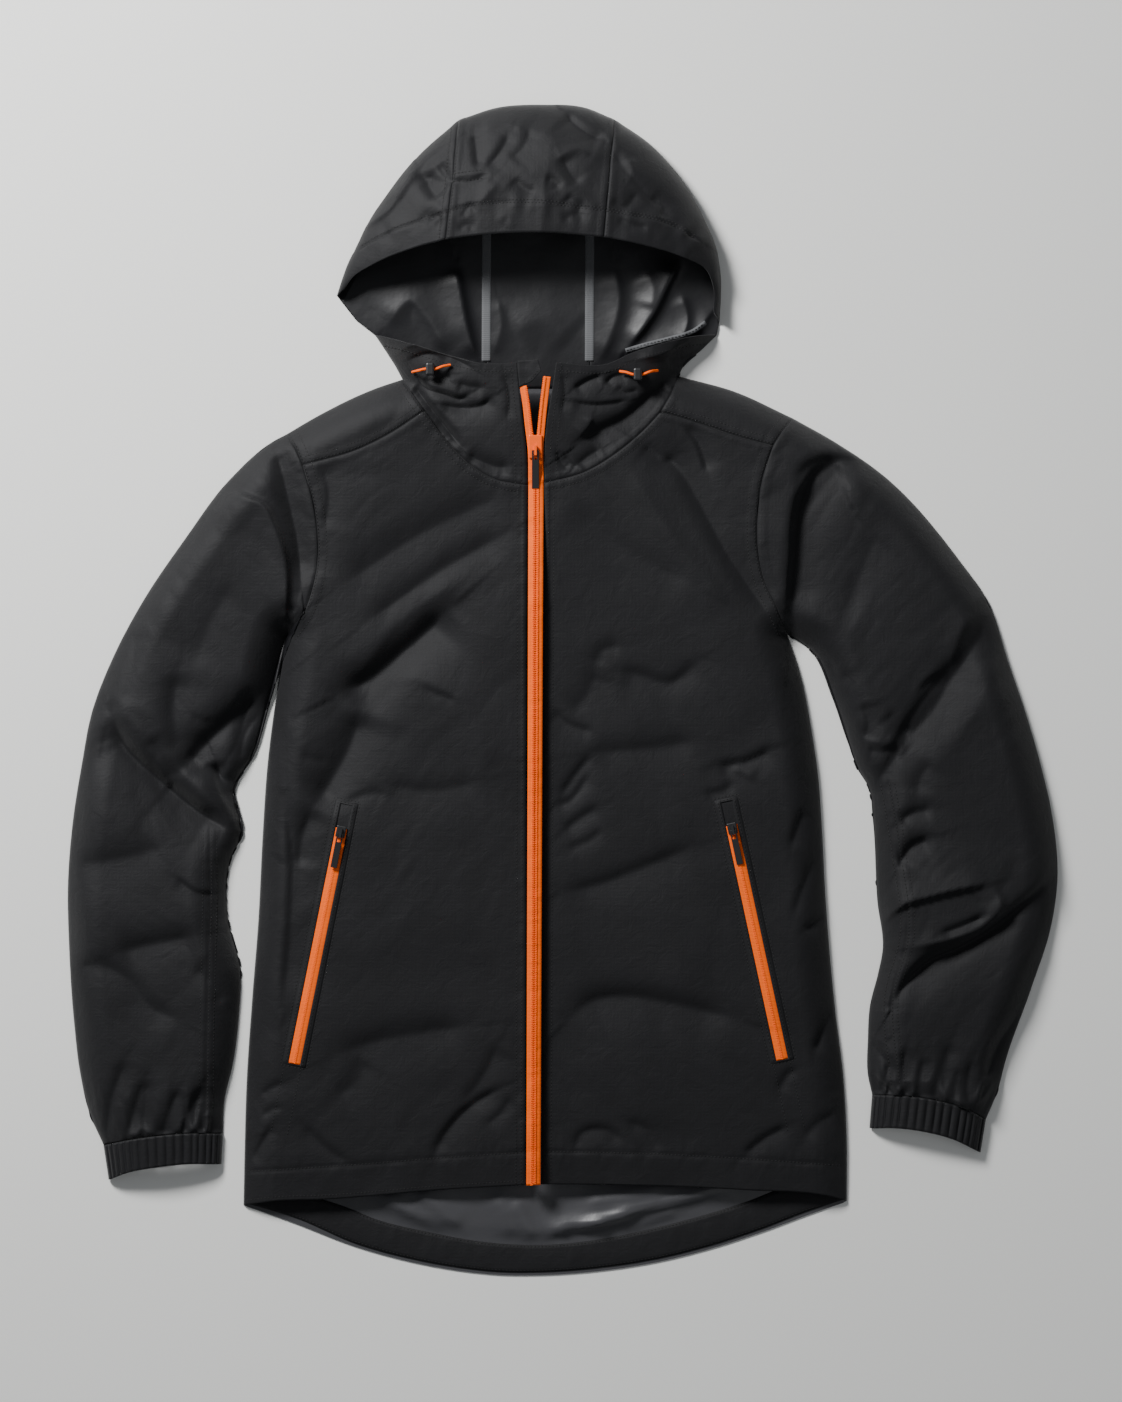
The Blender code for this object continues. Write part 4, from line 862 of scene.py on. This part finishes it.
def cloth(name, outer, inner=None, finishes=(SHELL, SHADE_DARKENED_LINING)):
    """Closed cloth wall: the grid is its outer face, the lining lies one wall inside along
    the normals, and a rim joins them."""
    middle = outer.shape[0] // 2, outer.shape[1] // 2
    if inner is None:
        inner = outer - WALL * grid_normals(outer, middle)
        inner[..., 2] = np.maximum(inner[..., 2], TABLE_GAP)
    index = numbered(outer)
    border = np.r_[index[0], index[1:, -1], index[-1, -2::-1], index[-2:0:-1, 0]]
    after = np.roll(border, -1)
    rim = np.stack([border, border + index.size, after + index.size, after], -1)
    along = outer[middle[0] + 1, middle[1]] - outer[middle]
    across = outer[middle[0], middle[1] + 1] - outer[middle]
    outwards = np.dot(np.cross(across, along), outer[middle] - inner[middle]) >= 0
    return walled(name, outer, inner, index, rim, outwards, finishes)


def tube(name, outer, inner):
    """Closed wall round a tube: both grids close their columns, and two rims join them."""
    index = numbered(outer)
    count = index.size
    index = np.append(index, index[:, :1], axis=1)
    first, last = index[0], index[-1]
    rims = [np.stack([first[:-1], first[:-1] + count, first[1:] + count, first[1:]], -1),
            np.stack([last[:-1], last[1:], last[1:] + count, last[:-1] + count], -1)]
    out = np.cross(outer[1, 0] - outer[0, 0], outer[0, 1] - outer[0, 0])
    outwards = np.dot(out, outer[0, 0] - outer[0].mean(0)) <= 0
    return walled(name, outer, inner, index, np.vstack(rims), outwards, (SHELL, SHADE_DARKENED_LINING))


def repeated(name, copies, faces, material, smooth=True):
    """Many copies of one small solid as a single piece. Copies holds each one's corners, and
    the faces name the corners of one copy."""
    first = np.arange(len(copies))[:, None] * copies.shape[1]
    every = [corners for face in faces for corners in (first + face).tolist()]
    made = piece(name, copies.reshape(-1, 3), every, [material], smooth=smooth)
    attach(made, BODY)


def sheet(made, node):
    """Hangs a piece of cloth on the jacket's body and hides the node it stands for, if it has one."""
    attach(made, BODY)
    if node:
        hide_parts(node)


# ---------------------------------------------------------------- cords
def facets(node):
    """Height of a frame node's upper side under a plan point, in millimetres."""
    tree = BVHTree.FromObject(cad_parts[node], bpy.context.evaluated_depsgraph_get())
    return lambda x, y: tree.ray_cast(Vector((x * MM, y * MM, 1)), Vector((0, 0, -1)))[0].z / MM


def cord_route(side):
    """The frame's own route: up out of the rim, through the lock and down into the rim."""
    level = facets(f"collar_{side}")
    lock = np.array(CORDS[side]["lock"], float)
    start, end = (np.array(p, float) for p in CORDS[side]["ends"])
    base = [level(*spot) for spot in (start, lock, end)]
    lock_z = max(base) + CORD_IN_LOCK
    return [(*start, base[0] + CORD_AT_RIM), (*(start * 0.6 + lock * 0.4), lock_z - 0.6),
            (lock[0] - LOCK_HALF, lock[1], lock_z), (lock[0] + LOCK_HALF, lock[1], lock_z),
            (*(end * 0.6 + lock * 0.4), lock_z - 0.6), (*end, base[2] + CORD_AT_RIM)]


def drawcord(side):
    """Round braided elastic, out of the rim, through its lock and back in."""
    route = curve(cord_route(side), 36) * MM
    data = bpy.data.curves.new(f"drawcord_{side}_cord", "CURVE")
    data.dimensions = "3D"
    data.bevel_depth = CORD_D / 2 * MM
    data.bevel_resolution = 3
    data.use_fill_caps = True
    spline = data.splines.new("POLY")
    spline.points.add(len(route) - 1)
    spline.points.foreach_set("co", np.column_stack([route, np.ones(len(route))]).ravel())
    data.materials.append(ELASTIC)
    made = placed(f"drawcord_{side}_cord", data)
    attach(made, BODY)
    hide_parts(f"drawcord_{side}")


# ---------------------------------------------------------------- upper layer and sleeves
def upper(name, plan, side, lift=BODY_LIFT, collar=False):
    """Cloth of the upper layer over a plan grid. Like each function of one piece of it, this
    gives back the piece's outer face."""
    outer = lifted(plan, upper_height(plan[..., 0], plan[..., 1], side, lift, collar))
    sheet(cloth(f"{name}_cloth", outer), name)
    return outer


def front(side):
    """Front panel between hem, side, armhole, yoke and neck seams and the zip."""
    lines = LINES[side]
    down, across = crowded(290, 0.3), crowded(112, 0.6)
    border = join(curve(lines["side"], 80)[::-1], curve(lines["armhole_front"], 40)[::-1])
    zip_edge = path(lines["zip_edge"], down)
    top = path(join(curve(lines["yoke_seam"], 30), curve(lines["neck_front"], 40)), across)
    top[-1] = zip_edge[-1]
    plan = coons(curve(lines["hem"], across), top, path(border, down), zip_edge)
    return upper(f"front_{side}", plan, side)


def yoke(side):
    """Shoulder yoke from the yoke seam over to the shoulder's folded edge."""
    lines = LINES[side]
    up, across = crowded(26), crowded(70)
    plan = coons(curve(lines["yoke_seam"], across), curve(lines["shoulder"], across),
                 path(lines["armhole_yoke"][::-1], up), path(lines["neck_yoke"][::-1], up))
    return upper(f"yoke_{side}", plan, side)


def collar(side):
    """Collar and lower front of the hood, from the neck seam to the opening's lower rim."""
    lines = LINES[side]
    up, across = crowded(84, 0.5), crowded(120, 0.4)
    inner = curve(lines["collar_zip"], up)
    bottom, top = path(NECK[side], across), curve(lines["rim"], across)
    bottom[-1], top[-1] = inner[0], inner[-1]
    plan = coons(bottom, top, curve(lines["hood_edge"], up), inner)
    return upper(f"collar_{side}", plan, side, collar=True)


def top_sleeve(side):
    """Upper half of the sleeve, from the armhole to the cuff."""
    lines = LINES[side]
    down, across = crowded(290, 0.3), crowded(90, 0.7)
    outer, inner = (curve(lines[name], down)[::-1] for name in ("sleeve_outer", "sleeve_inner"))
    top = path(armhole(side), across)
    top[-1] = inner[-1]
    plan = coons(curve(lines["cuff_top"], across), top, outer, inner)
    return upper(f"sleeve_top_{side}", plan, side, SLEEVE_LIFT)


def under_sleeve(side):
    """Flat under half of a sleeve, just inside the upper half's folded edges."""
    lines = LINES[side]
    inset = UNDER_INSET if side == "right" else -UNDER_INSET
    outer = curve(lines["sleeve_outer"], 60)[::-1] + (inset, 0)
    inner = curve(lines["sleeve_inner"], 60)[::-1] - (inset, 0)
    bottom, top = curve(lines["cuff_top"], 26), path(armhole(side, front_parts=30), 26)
    bottom[0], bottom[-1] = outer[0], inner[0]
    top[0], top[-1] = outer[-1], inner[-1]
    plan = coons(bottom, top, outer, inner)
    flat = lifted(plan, np.zeros(plan.shape[:2]))
    made = cloth(f"sleeve_under_{side}_cloth", flat, inner=flat + (0, 0, THIN_WALL))
    sheet(made, f"sleeve_under_{side}")


CUFF_RIBS = 17
RIB_POINTS = 8
CUFF_HEIGHTS = (20.5, 22.0)      # at its end and at the sleeve
CUFF_WALL = 1.3
RIB_HEIGHT = 2.6


def cuff(side):
    """Elasticated cuff, a flattened tube: ribs over its upper side swell between the two
    pinched rims, their valleys narrow and a little uneven. The underside lies flat."""
    lines = LINES[side]
    share = np.linspace(0, 1, RIB_POINTS * CUFF_RIBS + 1)
    over, under = crowded(RIB_POINTS * CUFF_RIBS, 0.5), np.linspace(0.985, 0.015, 30)
    t = np.linspace(0, 1, 15)
    top, low = (between(curve(lines["cuff_end"], s), curve(lines["cuff_top"], s), t)
                for s in (over, under))
    tall = np.interp(t, (0, 1), CUFF_HEIGHTS)[:, None]
    arch = np.sqrt(np.clip(1 - (2 * over - 1)**2, 0, 1))
    uneven = rolling(share * 130, share * 0, 9.0, SEEDS[f"cuff_{side}"])
    ridge = np.abs(np.sin(math.pi * CUFF_RIBS * share + 0.35 * uneven))**0.65
    swell = 0.35 + 0.65 * np.sin(math.pi * t)[:, None]**0.5
    ribs = RIB_HEIGHT * (ridge - 0.75) * swell * ramp(arch, 1 / 3)
    outer = np.concatenate([lifted(top, 2.0 + (tall - 2.0) * arch + ribs),
                            lifted(low, np.zeros(low.shape[:2]))], axis=1)
    middle = lifted(outer[..., :2].mean(1), tall[:, 0] * 0.45)[:, None]
    out = outer - middle
    inner = outer - CUFF_WALL * out / np.linalg.norm(out, axis=-1, keepdims=True)
    inner[..., 2] = np.maximum(inner[..., 2], 0.8)
    sheet(tube(f"cuff_{side}_cloth", outer, inner), f"cuff_{side}")


# ---------------------------------------------------------------- hood
PANEL_COLUMNS = 84
FACE_ROWS, CURL_ROWS, LINING_ROWS = 84, 7, 76
HIDDEN_ROWS = FACE_ROWS + CURL_ROWS      # rows before those on the table
CURL = 5.0                               # height of the turn at the outer edge
CURL_BACK = 4.0                          # and how far it goes back under the edge
SEAM_TURN = 0.3                          # share of the way down where tapes are straight


def hood_grid():
    """Outer face of the bare hood, row by row: a quarter ellipse from the raised rim over to
    the crown, a small quarter round under its edge, then flat on the table to the neck."""
    rim, crown = (join(*[curve(panel[name], PANEL_COLUMNS) for panel in HOOD.values()])
                  for name in ("rim", "crown"))
    neck = join(*[path(panel["neck"], PANEL_COLUMNS) for panel in HOOD.values()])
    rim_z = np.interp(rim[:, 0], *np.array(RIM_HEIGHT, float).T)
    length = np.linalg.norm(neck - crown, axis=1, keepdims=True)
    back_way = (neck - crown) / length
    rows = [(rim + (crown - rim) * math.sin(a), CURL + (rim_z - CURL) * math.cos(a))
            for a in np.linspace(0, math.pi / 2, FACE_ROWS)]
    rows += [(crown + back_way * CURL_BACK * math.sin(a), CURL * (1 - math.sin(a)))
             for a in np.linspace(0.2, math.pi / 2, CURL_ROWS)]
    # behind the opening the seams turn straight down, under their tapes
    last = len(crown) - 1
    pull = np.interp(np.arange(last + 1), [0, PANEL_COLUMNS, last - PANEL_COLUMNS, last],
                     [0, 1, 1, 0])
    for s in np.linspace(0.02, 1, LINING_ROWS):
        plan = crown + back_way * (CURL + (length - CURL) * s)
        plan[:, 0] += (neck - crown)[:, 0] * (min(s / SEAM_TURN, 1) - s) * pull
        rows.append((plan, 0))
    return np.array([lifted(plan, np.zeros(len(plan)) + z) for plan, z in rows])


def hood_relief(x, y):
    """Relief of the hood's face: folds, crumple, two seams and a short dart, and the brim's
    row of stitches with its gathers."""
    relief = 1.15 * creased(x, y, HOOD_FOLDS) + 0.7 * crumpled(x, y, 20, SEEDS["hood"])
    for line in HOOD_SEAMS.values():
        far = distance(x, y, line)
        relief += 0.6 * hump(far - 3.5, 3, 4) - VALLEY_DEPTH * hump(far, 1.4)
    brim = curve(BRIM_STITCH, 40)
    off, share = beside(x, y, brim)
    gathers = rolling(share * running(brim)[-1], off * 0.5, 9.0, SEEDS["brim"])
    return relief + 1.7 * gathers * np.exp(-np.abs(off) / 14) - 0.9 * hump(off, 1.5)


def lining_height(x, y):
    """How far the lining behind the opening stands off the table: its folds, never below 0."""
    roll = rolling(x, y, 32, SEEDS["lining"])
    return np.maximum(creased(x, y, LINING_FOLDS) + 0.8 + 0.7 * roll, 0)


def hood():
    """Hood as one surface, cut into its three panels. Gives back its face and its lining."""
    outer = hood_grid()
    normal = grid_normals(outer, (10, outer.shape[1] // 2))
    face, table = outer[:FACE_ROWS], outer[HIDDEN_ROWS:]
    normal[HIDDEN_ROWS:] = (0, 0, -1)
    fade = ramp(FACE_ROWS - np.arange(FACE_ROWS), 14)[:, None]
    relief = hood_relief(face[..., 0], face[..., 1]) * fade
    face += relief[..., None] * normal[:FACE_ROWS]
    step = np.linspace(0, 1, LINING_ROWS)[:, None]
    fade = ramp(step, 0.12) * ramp(1 - step, 0.04)
    table[..., 2] = lining_height(table[..., 0], table[..., 1]) * fade
    inner = outer - WALL * normal
    inner[..., 2] = np.maximum(inner[..., 2], 0.9)
    outer[..., 2] = np.maximum(outer[..., 2], 0.0)
    # Their lining faces take the coating that is painted darker for the shade under the brim.
    for number, panel in enumerate(HOOD):
        cut = slice(number * PANEL_COLUMNS, (number + 1) * PANEL_COLUMNS + 1)
        made = cloth(f"hood_{panel}_cloth", outer[:, cut], inner=inner[:, cut])
        sheet(made, f"hood_{panel}")
    return face, inner[HIDDEN_ROWS:]


# ---------------------------------------------------------------- back
def tail_height(x, y):
    """Folds of the lining on the dropped tail. They die out towards the stitched band, the
    sides and under the fronts."""
    band = beside(x, y, curve(TAIL_BAND, 30))[0]
    fade = ramp(band, 14) * ramp(-425 - y, 30) * ramp(x + 285, 60) * ramp(255 - x, 60)
    relief = 1.2 * creased(x, y, TAIL_FOLDS) + 0.6 + 0.8 * crumpled(x, y, 25, SEEDS["tail"])
    return np.maximum(relief, 0) * fade


def back():
    """Whole back on the table, lining up. Rows crowd towards the tail, which shows."""
    rows = np.linspace(0, 1, 100)**2
    borders = []
    for side, inset in (("right", UNDER_INSET), ("left", -UNDER_INSET)):
        lines = LINES[side]
        border = path(join(curve(lines["side"], 60)[::-1], armhole(side, 6, 30)[::-1],
                           curve(lines["shoulder"], 20)), rows)
        border[:, 0] += inset * ramp(rows, 0.02)
        borders.append(border)
    bottom, top = curve(TAIL, 160), path(BACK_NECK, 160)
    for corner, border in zip((0, -1), borders):
        bottom[corner], top[corner] = border[0], border[-1]
    plan = coons(bottom, top, *borders)
    outer = lifted(plan, tail_height(plan[..., 0], plan[..., 1]))
    made = cloth("back_panel_cloth", outer, inner=outer + (0, 0, WALL),
                 finishes=(SHELL, TAIL_LINING))
    sheet(made, "back_panel")


# ---------------------------------------------------------------- trims laid on the cloth
def ground(*grids):
    """Height of the cloth under a plan point, found by looking straight down, a ray for each
    point. Beside the cloth it is the height of the nearest edge, or nothing where only cloth
    counts."""
    points, faces = [], []
    for grid in grids:
        faces.append(cells(numbered(grid, first=sum(map(len, points)))))
        points.append(grid.reshape(-1, 3))
    tree = BVHTree.FromPolygons(np.vstack(points).tolist(), np.vstack(faces).tolist())
    down = Vector((0, 0, -1))

    def height(x, y, only_cloth=False):
        """Heights at arrays of places."""
        found = np.full(np.shape(x), np.nan)
        for spot in np.ndindex(found.shape):
            hit = tree.ray_cast(Vector((x[spot], y[spot], 500.0)), down)[0]
            if hit is None and not only_cloth:
                hit = tree.find_nearest(Vector((x[spot], y[spot], 25.0)))[0]
            if hit is not None:
                found[spot] = hit.z
        return found
    return height


def flush(side):
    """Height of the upper layer along a zip, as a function of the place in plan."""
    return lambda x, y: upper_height(x, y, side, BODY_LIFT, collar=True)


def strap(name, line, profile, surface, material, sunk):
    """Trim along a line: its cross section has the profile's lifts over the cloth, and its
    underside is sunk a little into the cloth. Gives back the object and its outer face."""
    offsets, lifts = np.array(profile, float).T
    plan = line[:, None] + lefts(line)[:, None] * offsets[None, :, None]
    level = surface(plan[..., 0], plan[..., 1])
    outer = lifted(plan, level + lifts)
    made = cloth(name, outer, inner=lifted(plan, level - sunk), finishes=(material, material))
    return made, outer


# A stitch is a low three-sided bead: place along its pitch, half width and height of its
# three stations, and its faces
STITCH_PITCH = 3.4
STITCH_STATIONS = [(0.0, 0.45, 0.0), (0.4, 0.65, 0.45), (0.8, 0.45, 0.0)]
STITCH_FOOT = -0.25
BEAD = [(0, 1, 4, 3), (1, 2, 5, 4), (3, 4, 7, 6), (4, 5, 8, 7), (2, 0, 3, 5), (5, 3, 6, 8),
        (0, 2, 1), (6, 7, 8)]


def stitches(name, rows, surface, pitch=STITCH_PITCH):
    """Rows of machine stitches as one piece. Real ones are about 2.6 mm long and 0.3 mm
    thick; these are 1.3 mm wide so that they show. Each dips into the cloth at both ends,
    and there are none beside the cloth."""
    beads = []
    for row in rows:
        starts = np.arange(0.4, running(row)[-1] - pitch, pitch)
        stations = []
        for share, half, lift in STITCH_STATIONS:
            at = starts + share * pitch
            plan = at_lengths(row, at)
            ahead = at_lengths(row, at + 0.2) - at_lengths(row, at - 0.2)
            left = np.column_stack([-ahead[:, 1], ahead[:, 0]])
            left /= np.maximum(np.linalg.norm(left, axis=1, keepdims=True), 1e-9)
            level = surface(plan[:, 0], plan[:, 1], only_cloth=True)
            for offset, rise in ((half, STITCH_FOOT), (0, lift), (-half, STITCH_FOOT)):
                stations.append(lifted(plan + left * offset, level + rise))
        beads.append(np.stack(stations, axis=1))
    beads = np.concatenate(beads)
    on_cloth = np.isfinite(beads).all((1, 2))
    repeated(name, beads[on_cloth], BEAD, THREAD_AND_SEAM_SHADE)


TOOTH_PITCH = 1.7
TOOTH_LENGTH = 0.62 * TOOTH_PITCH
TOOTH_WIDTH = 3.4
TOOTH_TOP = 0.62          # size of a tooth's top over its foot's
TOOTH = [(4, 5, 6, 7), (0, 1, 5, 4), (1, 2, 6, 5), (2, 3, 7, 6), (3, 0, 4, 7), (3, 2, 1, 0)]


def teeth(name, line, offset, surface, slant, lift, phase=0.0):
    """Row of coil teeth along a line, each a block whose top is smaller than its foot. Real
    coils have about 1.2 mm pitch; these are drawn a little coarser so that they show."""
    run = running(line)
    at = np.arange(TOOTH_PITCH * (0.5 + phase), run[-1] - TOOTH_PITCH / 2, TOOTH_PITCH)
    middle = at_lengths(line, at)
    left = np.column_stack([np.interp(at, run, column) for column in lefts(line).T])
    ahead = np.column_stack([left[:, 1], -left[:, 0]])
    level = surface(middle[:, 0], middle[:, 1])
    centre = middle + left * offset
    along = ahead * TOOTH_LENGTH / 2
    across = (left + ahead * slant) * TOOTH_WIDTH / 2
    corners = [lifted(centre + (along * a + across * b) * size, level + high)
               for high, size in ((0, 1.0), (lift, TOOTH_TOP))
               for a, b in ((-1, -1), (1, -1), (1, 1), (-1, 1))]
    repeated(name, np.stack(corners, axis=1), TOOTH, COIL, smooth=False)


def tail_band():
    """Black band stitched along the tail on the inside, puckered a little by its seam."""
    plan = between(curve(TAIL_BAND_EDGE, 240), curve(TAIL_BAND, 240), np.linspace(0, 1, 8))
    x, y = plan[..., 0], plan[..., 1]
    crown = np.sin(np.linspace(0.25, math.pi - 0.25, 8))[:, None]
    puckers = 0.35 * rolling(x, y * 0.4, 7.0, SEEDS["tail_band"]) * crown
    outer = lifted(plan, WALL + 0.35 + 0.9 * crown + puckers)
    made = cloth("back_hem_band", outer, inner=lifted(plan, np.full(x.shape, WALL + 0.05)),
                 finishes=(SHELL, SHELL))
    sheet(made, "back_hem")
    rows = [shifted(curve(TAIL_BAND, 200), -1.6), shifted(curve(TAIL_BAND_EDGE, 200), 2.0)]
    stitches("tail_band_stitches", rows, ground(outer))


def chin_flap():
    """Flap that turns over the zip's top, on the collar, with one row of stitches."""
    plan = between(path(FLAP["turned"], 24), path(FLAP["top"], 24), np.linspace(0, 1, 20))
    x, y = plan[..., 0], plan[..., 1]
    turned = 0.8 + 1.6 * ramp(x + 36, 16)**2
    uneven = 0.3 * rolling(x, y, 7.0, SEEDS["chin_flap"])
    outer = lifted(plan, flush("right")(x, y) + turned + uneven)
    made = cloth("chin_flap_cloth", outer, inner=outer - (0, 0, THIN_WALL),
                 finishes=(SHELL, SHELL))
    sheet(made, "chin_flap")
    stitches("chin_flap_stitches", [path(FLAP["stitch"], 20)], ground(outer), pitch=2.8)


def facing_strip(lining):
    """Pale stitched edge of the lining's facing, inside the opening on the left."""
    line = curve(FACING_EDGE, 60)
    made, outer = strap("hood_facing_strip", line, FACING_PROFILE, lining, SEAM_TAPE, sunk=0.2)
    sheet(made, None)
    stitches("hood_facing_stitches", [line], ground(outer))


def hood_tape(side, lining):
    """Welded tape over a hood seam, on the lining."""
    made, outer = strap(f"hood_tape_{side}_strip", curve(HOOD_TAPES[side], 70), TAPE_PROFILE,
                        lining, SEAM_TAPE, sunk=0.2)
    sheet(made, f"hood_tape_{side}")


def zip_half(side):
    """Half of the centre zip: tape, raised coil and teeth, bending away above the slider. The
    other half's teeth stand between this one's."""
    sign = -1 if side == "right" else 1
    edge = np.array(LINES[side]["zip_edge"], float) - (sign * 3.6, 0)
    line = join(path(edge, 320), curve(np.vstack([edge[-1], ZIP_OPEN[side]]), 60))
    profile = [(-sign * offset, lift) for offset, lift in ZIP_PROFILE][::-sign]
    made, outer = strap(f"zip_half_{side}_tape", line, profile, flush(side), ZIP_TAPE, sunk=1.0)
    sheet(made, f"zip_half_{side}")
    teeth(f"zip_teeth_{side}", line, sign * 2.2, flush(side), slant=0.35 * sign, lift=1.15,
          phase=0.0 if side == "right" else 0.5)


def ring(side, half, low, high):
    """Open plan line round a pocket zip, that far to each side and past its ends."""
    top, bottom = (np.array(p, float) for p in LINES[side]["pocket_zip"])
    ahead = (top - bottom) / np.linalg.norm(top - bottom)
    right = np.array([ahead[1], -ahead[0]])
    share = np.linspace(0, 1, 90)[:, None]
    run = bottom - ahead * low + (top - bottom + ahead * (low + high)) * share
    return np.vstack([run + right * half, run[::-1] - right * half])


WELT_RINGS = [(5.3, 0.4, 23.0), (11.3, 2.0, 26.0)]     # half width, past the bottom, past the top
WELT_STITCHES = [(8.0, 1.2, 24.5), (12.6, 3.0, 27.5)]


def welt(side, surface):
    """Folded lips round a pocket zip that run on past its slider. Gives back its outer face."""
    inner_ring, outer_ring = (ring(side, *sizes) for sizes in WELT_RINGS)
    share, rise = np.array(WELT_PROFILE, float).T
    plan = between(inner_ring, outer_ring, share)
    level = surface(plan[..., 0], plan[..., 1])
    outer = lifted(plan, level + rise[:, None])
    made = tube(f"pocket_welt_{side}_cloth", outer, lifted(plan, level - 0.5))
    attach(made, BODY)
    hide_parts(f"pocket_welt_{side}")
    return outer


def pocket(side, surface):
    """Slanted pocket: zip, welt, two rows of stitches round it and two short ones below."""
    top, bottom = (np.array(p, float) for p in LINES[side]["pocket_zip"])
    line = path([bottom, top], 150)
    made, outer = strap(f"pocket_zip_{side}_tape", line, POCKET_PROFILE, surface, ZIP_TAPE, 0.5)
    sheet(made, f"pocket_zip_{side}")
    teeth(f"pocket_teeth_{side}", line, 0.0, surface, slant=0.3, lift=1.35)
    lips = ground(welt(side, surface).transpose(1, 0, 2))
    for number, (sizes, level) in enumerate(zip(WELT_STITCHES, (lips, surface))):
        row = ring(side, *sizes)
        stitches(f"pocket_stitches_{side}_{number}", [np.vstack([row, row[:1]])], level)
    lower = path([bottom - (top - bottom) / 223 * down for down in (3, 70)], 30)
    for name, offset in (("a", -9.0), ("b", 7.0)):
        stitches(f"pocket_tail_{side}_{name}", [shifted(lower, offset)], surface)


def seam_stitches(side, surface):
    """Rows of stitches on one half: zip facing, collar, neck, yoke, armhole, rim, forearm and
    hem. Their offsets are to a line's left on the right half, and mirrored on the left half."""
    lines = LINES[side]
    inward = 1 if side == "right" else -1
    sewn = [(path(lines["zip_edge"], 120), (4.6, 9.6)), (curve(lines["collar_zip"], 40), (5.5, 11.5)),
            (NECK[side], (-2.2, -7.4)), (curve(lines["yoke_seam"], 40), (1.9, 7.0)),
            (armhole(side), (2.0, 9.0)), (curve(lines["rim"], 60), (-7.5,))]
    rows = [shifted(line, inward * offset) for line, offsets in sewn for offset in offsets]
    rows += [shifted(curve(FOREARM_SEAM[side], 60), offset) for offset in (1.4, -6.4, 6.4)]
    rows += [curve(HEM_STITCH[side], 120), shifted(curve(lines["hem"], 120), 4.0)]
    stitches(f"seam_stitches_{side}", rows, surface)


def hood_stitches(face):
    """Two rows along each seam of the hood, and two along the brim."""
    rows = [shifted(curve(line, 50), offset) for line in HOOD_SEAMS.values() for offset in (-2, 6)]
    rows += [curve(BRIM_STITCH, 90), shifted(curve(BRIM_STITCH, 90), 2.6)]
    stitches("hood_stitches", rows, ground(face))


# ---------------------------------------------------------------- making
for half in LINES:
    drawcord(half)

tops = []
for half in LINES:
    tops += [front(half), yoke(half), collar(half), top_sleeve(half)]
    under_sleeve(half)
    cuff(half)
hood_face, hood_lining = hood()
back()

on_top, on_lining = ground(*tops), ground(hood_lining)
tail_band()
chin_flap()
facing_strip(on_lining)
for half in LINES:
    hood_tape(half, on_lining)
    zip_half(half)
    pocket(half, on_top)
for half in LINES:
    seam_stitches(half, on_top)
hood_stitches(hood_face)


# ---------------------------------------------------------------- nodes that keep their shape
def refinish(material, *names):
    """Gives CAD nodes that keep their shape their real finish."""
    for name in names:
        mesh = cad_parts[name].data
        mesh.materials.clear()
        mesh.materials.append(material)


refinish(PAINT, "centre_slider", "zip_box")
refinish(RUBBER, "centre_pull", "pocket_right_pull", "pocket_left_pull", "pocket_right_slider",
         "pocket_left_slider", "cord_lock_right", "cord_lock_left")

# ---------------------------------------------------------------- stage and light
FLOOR_HALF = 6.0          # metres
FLOOR_Z = -0.0002


def floor():
    """Plain pale floor just under the garment."""
    mesh = bpy.data.meshes.new("floor")
    corners = [(a * FLOOR_HALF, b * FLOOR_HALF, FLOOR_Z)
               for a, b in ((-1, -1), (1, -1), (1, 1), (-1, 1))]
    mesh.from_pydata(corners, [], [(0, 1, 2, 3)])
    mesh.materials.append(finish("pale_floor", "#efefec", 0.9)[0])
    placed("floor", mesh)


def area_light(name, place, size, power):
    """Square soft light aimed at the middle of the garment."""
    data = bpy.data.lights.new(name, "AREA")
    data.size = size
    data.energy = power
    light = placed(name, data)
    light.location = place
    light.rotation_euler = (-Vector(place)).to_track_quat("-Z", "Y").to_euler()


def studio(colour, strength):
    """Even pale light from all round."""
    world = bpy.data.worlds.new("studio")
    world.use_nodes = True
    light = world.node_tree.nodes["Background"]
    light.inputs["Color"].default_value = colour
    light.inputs["Strength"].default_value = strength
    bpy.context.scene.world = world


floor()
area_light("key", (-1.4, 1.65, 1.6), 0.7, 125)
area_light("fill", (1.2, -0.9, 2.6), 2.4, 8)
studio((0.9, 0.95, 1.0, 1), 0.16)
